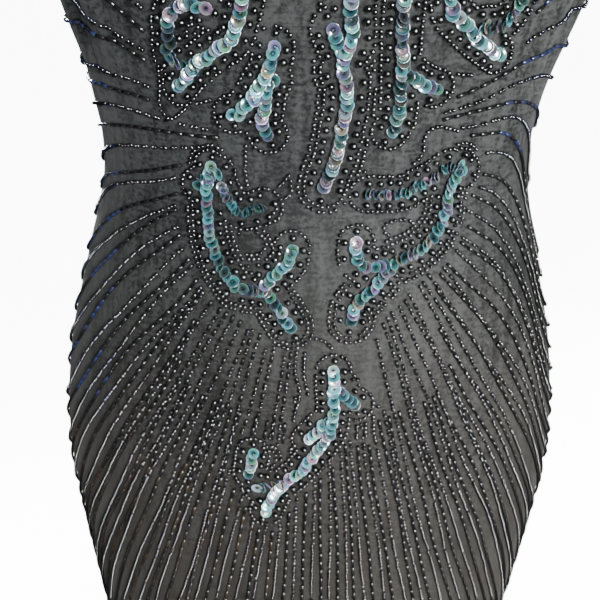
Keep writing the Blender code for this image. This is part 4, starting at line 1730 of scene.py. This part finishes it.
@dataclass
class Edges:
    """Rolled edges and hand stitching at the neck, armholes, hem, side seams and zip."""

    cloth: GownCloth
    roll: float = 0.0011
    hem_up: float = 0.022
    neck_in: float = 0.006
    seam_in: float = 0.0042
    zip_in: float = 0.0062
    stitch: tuple = (0.00020, 0.00016, 0.0011)

    def neck_line(self, facing: int) -> np.ndarray:
        """Lists the neckline's points, from one shoulder to the other.

        Args:
            facing: -1 for the front, 1 for the back.

        Returns:
            The points.
        """
        side = self.cloth.sides[facing]
        share = np.linspace(-NECK_SHARE, NECK_SHARE, 90)
        return side.at(share, side.neck_run(share) - self.roll * 0.4)[0]

    def armhole_line(self, sign: int) -> np.ndarray:
        """Lists an armhole's points, from the front of the shoulder round to its back.

        Args:
            sign: The sign of its x.

        Returns:
            The points.
        """
        front, back = self.cloth.sides[-1], self.cloth.sides[1]
        low = float(self.cloth.run_at(np.array(UNDERARM)))
        runs = np.linspace(front.form.ridge - 0.001, low, 60)
        edge = np.full(60, float(sign))
        return np.vstack((front.at(edge, runs)[0], back.at(edge, runs[::-1])[0]))

    def rolled(self, name: str, lines: list[np.ndarray], silk: bpy.types.Material) -> bpy.types.Object:
        """Lays a rolled edge along closed lines.

        Args:
            name: The piece's name.
            lines: The lines' points.
            silk: Its finish.

        Returns:
            The piece.
        """
        curve = bpy.data.curves.new(name, "CURVE")
        curve.dimensions, curve.bevel_depth, curve.bevel_resolution = "3D", self.roll, 2
        for line in lines:
            spline = curve.splines.new("POLY")
            spline.points.add(len(line) - 1)
            spline.points.foreach_set("co", np.column_stack((line, np.ones(len(line)))).reshape(-1))
            spline.use_cyclic_u = True
        holder = bpy.data.objects.new(name, curve)
        bpy.context.scene.collection.objects.link(holder)
        data = bpy.data.meshes.new_from_object(holder.evaluated_get(bpy.context.evaluated_depsgraph_get()))
        bpy.data.objects.remove(holder, do_unlink=True)
        data.shade_smooth()
        return new_piece(name, data, silk)

    def stitch_rows(self) -> list[tuple]:
        """Lists the rows of stitches as points and outward directions.

        Returns:
            A pair for each row.
        """
        front, back = self.cloth.sides[-1], self.cloth.sides[1]
        rows = []
        for side, spans in ((front, ((-1.0, 1.0),)), (back, ((-1.0, -0.008), (0.008, 1.0)))):
            for first, last in spans:
                share = np.linspace(first, last, int(150 * (last - first)))
                rows.append(side.at(share, np.full(len(share), self.hem_up)))
            share = np.linspace(-NECK_SHARE, NECK_SHARE, 84)
            if side is back:
                share = share[np.abs(share) > 0.015]
            rows.append(side.at(share, side.neck_run(share) - self.neck_in))
        for side in (front, back):
            for sign in (-1.0, 1.0):
                runs = np.linspace(0.02, side.form.ridge - 0.01, 340)
                rows.append(side.at(sign * (1.0 - self.seam_in / side.arc_at(runs)), runs))
        for sign in (-1.0, 1.0):
            runs = self.cloth.run_at(np.linspace(ZIP_END - 0.01, -0.012, 190))
            runs = runs[runs < back.form.ridge - 0.058]
            rows.append(back.at(sign * self.zip_in / back.arc_at(runs), runs))
        return rows

    def build(self, silk: bpy.types.Material) -> list[bpy.types.Object]:
        """Makes the rolled edges and the stitches.

        Args:
            silk: The rolls' finish.

        Returns:
            The pieces.
        """
        neck = np.vstack((self.neck_line(-1), self.neck_line(1)[::-1]))
        pieces = [self.rolled("neck_roll", [neck], silk),
                  self.rolled("armhole_rolls", [self.armhole_line(sign) for sign in (-1, 1)], silk)]
        stitches = SewnOn("hand_stitches", Template.ball(4, 3))
        rng = np.random.default_rng(SEED + 1)
        for points, normals in self.stitch_rows():
            way = np.gradient(points, axis=0)
            way /= np.maximum(np.linalg.norm(way, axis=1, keepdims=True), TINY)
            size = np.tile(self.stitch, (len(points), 1))
            stitches.add(points + normals * 0.0001, way, normals, size, rng.random(len(points)))
        return pieces + [stitches.build(ThreadFinish().material(), "cloth")]


@dataclass
class Zip:
    """The concealed zip: its coil in the slit, and the frame's tape, slider and pull."""

    cloth: GownCloth
    pitch: float = 0.0013
    tooth: tuple = (0.00042, 0.00055, 0.00085)
    under: float = 0.00125      # depth of the coil below the cloth's face
    apart: float = 0.00045      # half the distance between its two rows

    def build(self, frame: dict) -> bpy.types.Object:
        """Dresses the frame's zip pieces and adds the coil.

        Args:
            frame: The loaded frame.

        Returns:
            The coil.
        """
        metal, tape = MetalFinish().material(), TapeFinish().material()
        for name, material in (("zip_tape", tape), ("zip_slider", metal), ("zip_pull", metal)):
            data = frame["nodes"][name].data
            data.materials.clear()
            data.materials.append(material)
        back = self.cloth.sides[1]
        top = float(back.neck_run(np.array(0.0))) - 0.019
        bottom = float(self.cloth.run_at(np.array(ZIP_END - 0.015)))
        coil = SewnOn("zip_coil", Template.ball(6, 3))
        runs = np.arange(bottom, top, self.pitch)
        for sign in (-1.0, 1.0):
            here = runs + (self.pitch / 2 if sign > 0 else 0.0)
            points, normals = back.at(np.zeros(len(here)), here)
            normals[:, 0] = 0.0
            normals /= np.linalg.norm(normals, axis=1, keepdims=True)
            way = np.tile((1.0, 0.0, 0.0), (len(here), 1))
            centre = points - normals * self.under + way * sign * self.apart
            size = np.tile(self.tooth, (len(here), 1))
            coil.add(centre, way, normals, size, np.zeros(len(here)))
        return coil.build(ThreadFinish().material(), "zip_tape")


@dataclass(frozen=True)
class Lamp:
    """A soft square light; only the keys are mirrored in the beads."""

    name: str
    place: tuple
    size: float
    power: float
    colour: tuple = (1, 1, 1)
    mirrored: bool = False


LAMPS = (
    Lamp("key", (0.60, -1.49, 0.0), 0.44, 170.0, mirrored=True),
    Lamp("front_fill", (2.0, -1.0, -1.0), 1.5, 290.0),
    Lamp("left_fill", (-1.9, -1.1, -0.2), 1.4, 22.0, (0.46, 0.68, 1.0)),
    Lamp("skirt_fill", (-0.8, -1.7, -1.3), 1.6, 78.0),
    Lamp("back_key", (-0.55, 1.35, -0.10), 0.60, 120.0, mirrored=True),
    Lamp("back_fill", (1.7, 1.6, -0.5), 1.5, 90.0),
    Lamp("top", (0.0, 0.2, 1.9), 1.8, 24.0),
)


@dataclass
class Studio:
    """The pale floor, the soft lights and the camera."""

    eye: tuple = (-0.0083, -0.5274, -0.2646)
    yaw: float = 0.042
    pitch: float = 23.9041
    roll: float = 1.1846
    view: float = 40.0
    floor_level: float = -1.445
    aim: tuple = (0.0, -0.08, -0.46)
    seen_sky: float = 9.0
    soft_light: float = 2.20
    glossy_light: float = 0.02

    def axes(self) -> tuple[Vector, Vector, Vector]:
        """Works out the camera's directions: ahead, right and up.

        Returns:
            The three directions.
        """
        yaw, pitch, roll = (math.radians(a) for a in (self.yaw, self.pitch, self.roll))
        level = Vector((math.sin(yaw), math.cos(yaw), 0.0))
        side = Vector((math.cos(yaw), -math.sin(yaw), 0.0))
        ahead = level * math.cos(pitch) - Vector((0, 0, 1)) * math.sin(pitch)
        rise = level * math.sin(pitch) + Vector((0, 0, 1)) * math.cos(pitch)
        right = side * math.cos(roll) + rise * math.sin(roll)
        return ahead, right, rise * math.cos(roll) - side * math.sin(roll)

    def camera(self) -> None:
        """Sets up the camera."""
        ahead, right, rise = self.axes()
        data = bpy.data.cameras.new("camera")
        data.angle = math.radians(self.view)
        data.clip_start = 0.02
        thing = bpy.data.objects.new("camera", data)
        turn = Matrix((right, rise, -ahead)).transposed().to_4x4()
        thing.matrix_world = Matrix.Translation(self.eye) @ turn
        bpy.context.scene.collection.objects.link(thing)
        bpy.context.scene.camera = thing

    def hang(self, lamp: Lamp) -> None:
        """Hangs one soft square light that shines on the gown's middle.

        Args:
            lamp: What it is like.
        """
        data = bpy.data.lights.new(lamp.name, "AREA")
        data.shape, data.size, data.energy, data.color = "SQUARE", lamp.size, lamp.power, lamp.colour
        thing = bpy.data.objects.new(lamp.name, data)
        thing.location = lamp.place
        way = Vector(self.aim) - Vector(lamp.place)
        thing.rotation_euler = way.to_track_quat("-Z", "Y").to_euler()
        thing.visible_glossy = lamp.mirrored
        bpy.context.scene.collection.objects.link(thing)

    def sky(self) -> None:
        """Surrounds the scene with white that gives only a soft, low light of its own."""
        world = bpy.data.worlds.new("studio")
        world.use_nodes = True
        tree = world.node_tree
        background = tree.nodes["Background"]
        background.inputs[0].default_value = (1.0, 1.0, 1.0, 1.0)
        rays = tree.nodes.new("ShaderNodeLightPath").outputs
        seen, soft = Shade(tree, rays["Is Camera Ray"]), Shade(tree, rays["Is Diffuse Ray"])
        strength = seen * self.seen_sky + soft * self.soft_light + self.glossy_light
        tree.links.new(strength.socket, background.inputs[1])
        bpy.context.scene.world = world

    def build(self) -> None:
        """Sets the whole studio up."""
        self.camera()
        for lamp in LAMPS:
            self.hang(lamp)
        self.sky()
        mesh = bmesh.new()
        bmesh.ops.create_grid(mesh, x_segments=2, y_segments=2, size=30.0)
        bmesh.ops.translate(mesh, verts=mesh.verts, vec=(0.0, 0.0, self.floor_level))
        data = bpy.data.meshes.new("floor")
        mesh.to_mesh(data)
        mesh.free()
        data.materials.append(FloorFinish().material())
        floor = bpy.data.objects.new("floor", data)
        floor.visible_glossy = floor.visible_diffuse = False
        bpy.context.scene.collection.objects.link(floor)


PANELS = (
    ClothPanel("silk_front", "front", -1, -1.0, 1.0, 116, (0.54, 1.46), 0.64),
    ClothPanel("silk_back_left", "back_left", 1, 0.0, 1.0, 50, (0.28, 1.46), 0.32),
    ClothPanel("silk_back_right", "back_right", 1, -1.0, 0.0, 50, (0.28, 1.46), 0.32),
)


def main() -> None:
    """Builds the gown around its frame."""
    logging.basicConfig(level=logging.INFO, format="%(name)s %(message)s")
    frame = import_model()
    Studio().build()
    cloth = GownCloth()
    silk = SilkFinish().material()
    panels = [panel.build(cloth, silk) for panel in PANELS]
    edges = Edges(cloth).build(silk)
    beading = sew_beading(cloth)
    coil = Zip(cloth).build(frame)
    for panel, cut in zip(panels, PANELS):
        log.info("%s: %d faces", panel.name, len(panel.data.polygons))
    log.info("%d edge pieces, %d beading pieces, %s", len(edges), len(beading), coil.name)


if __name__ == "__main__":
    main()
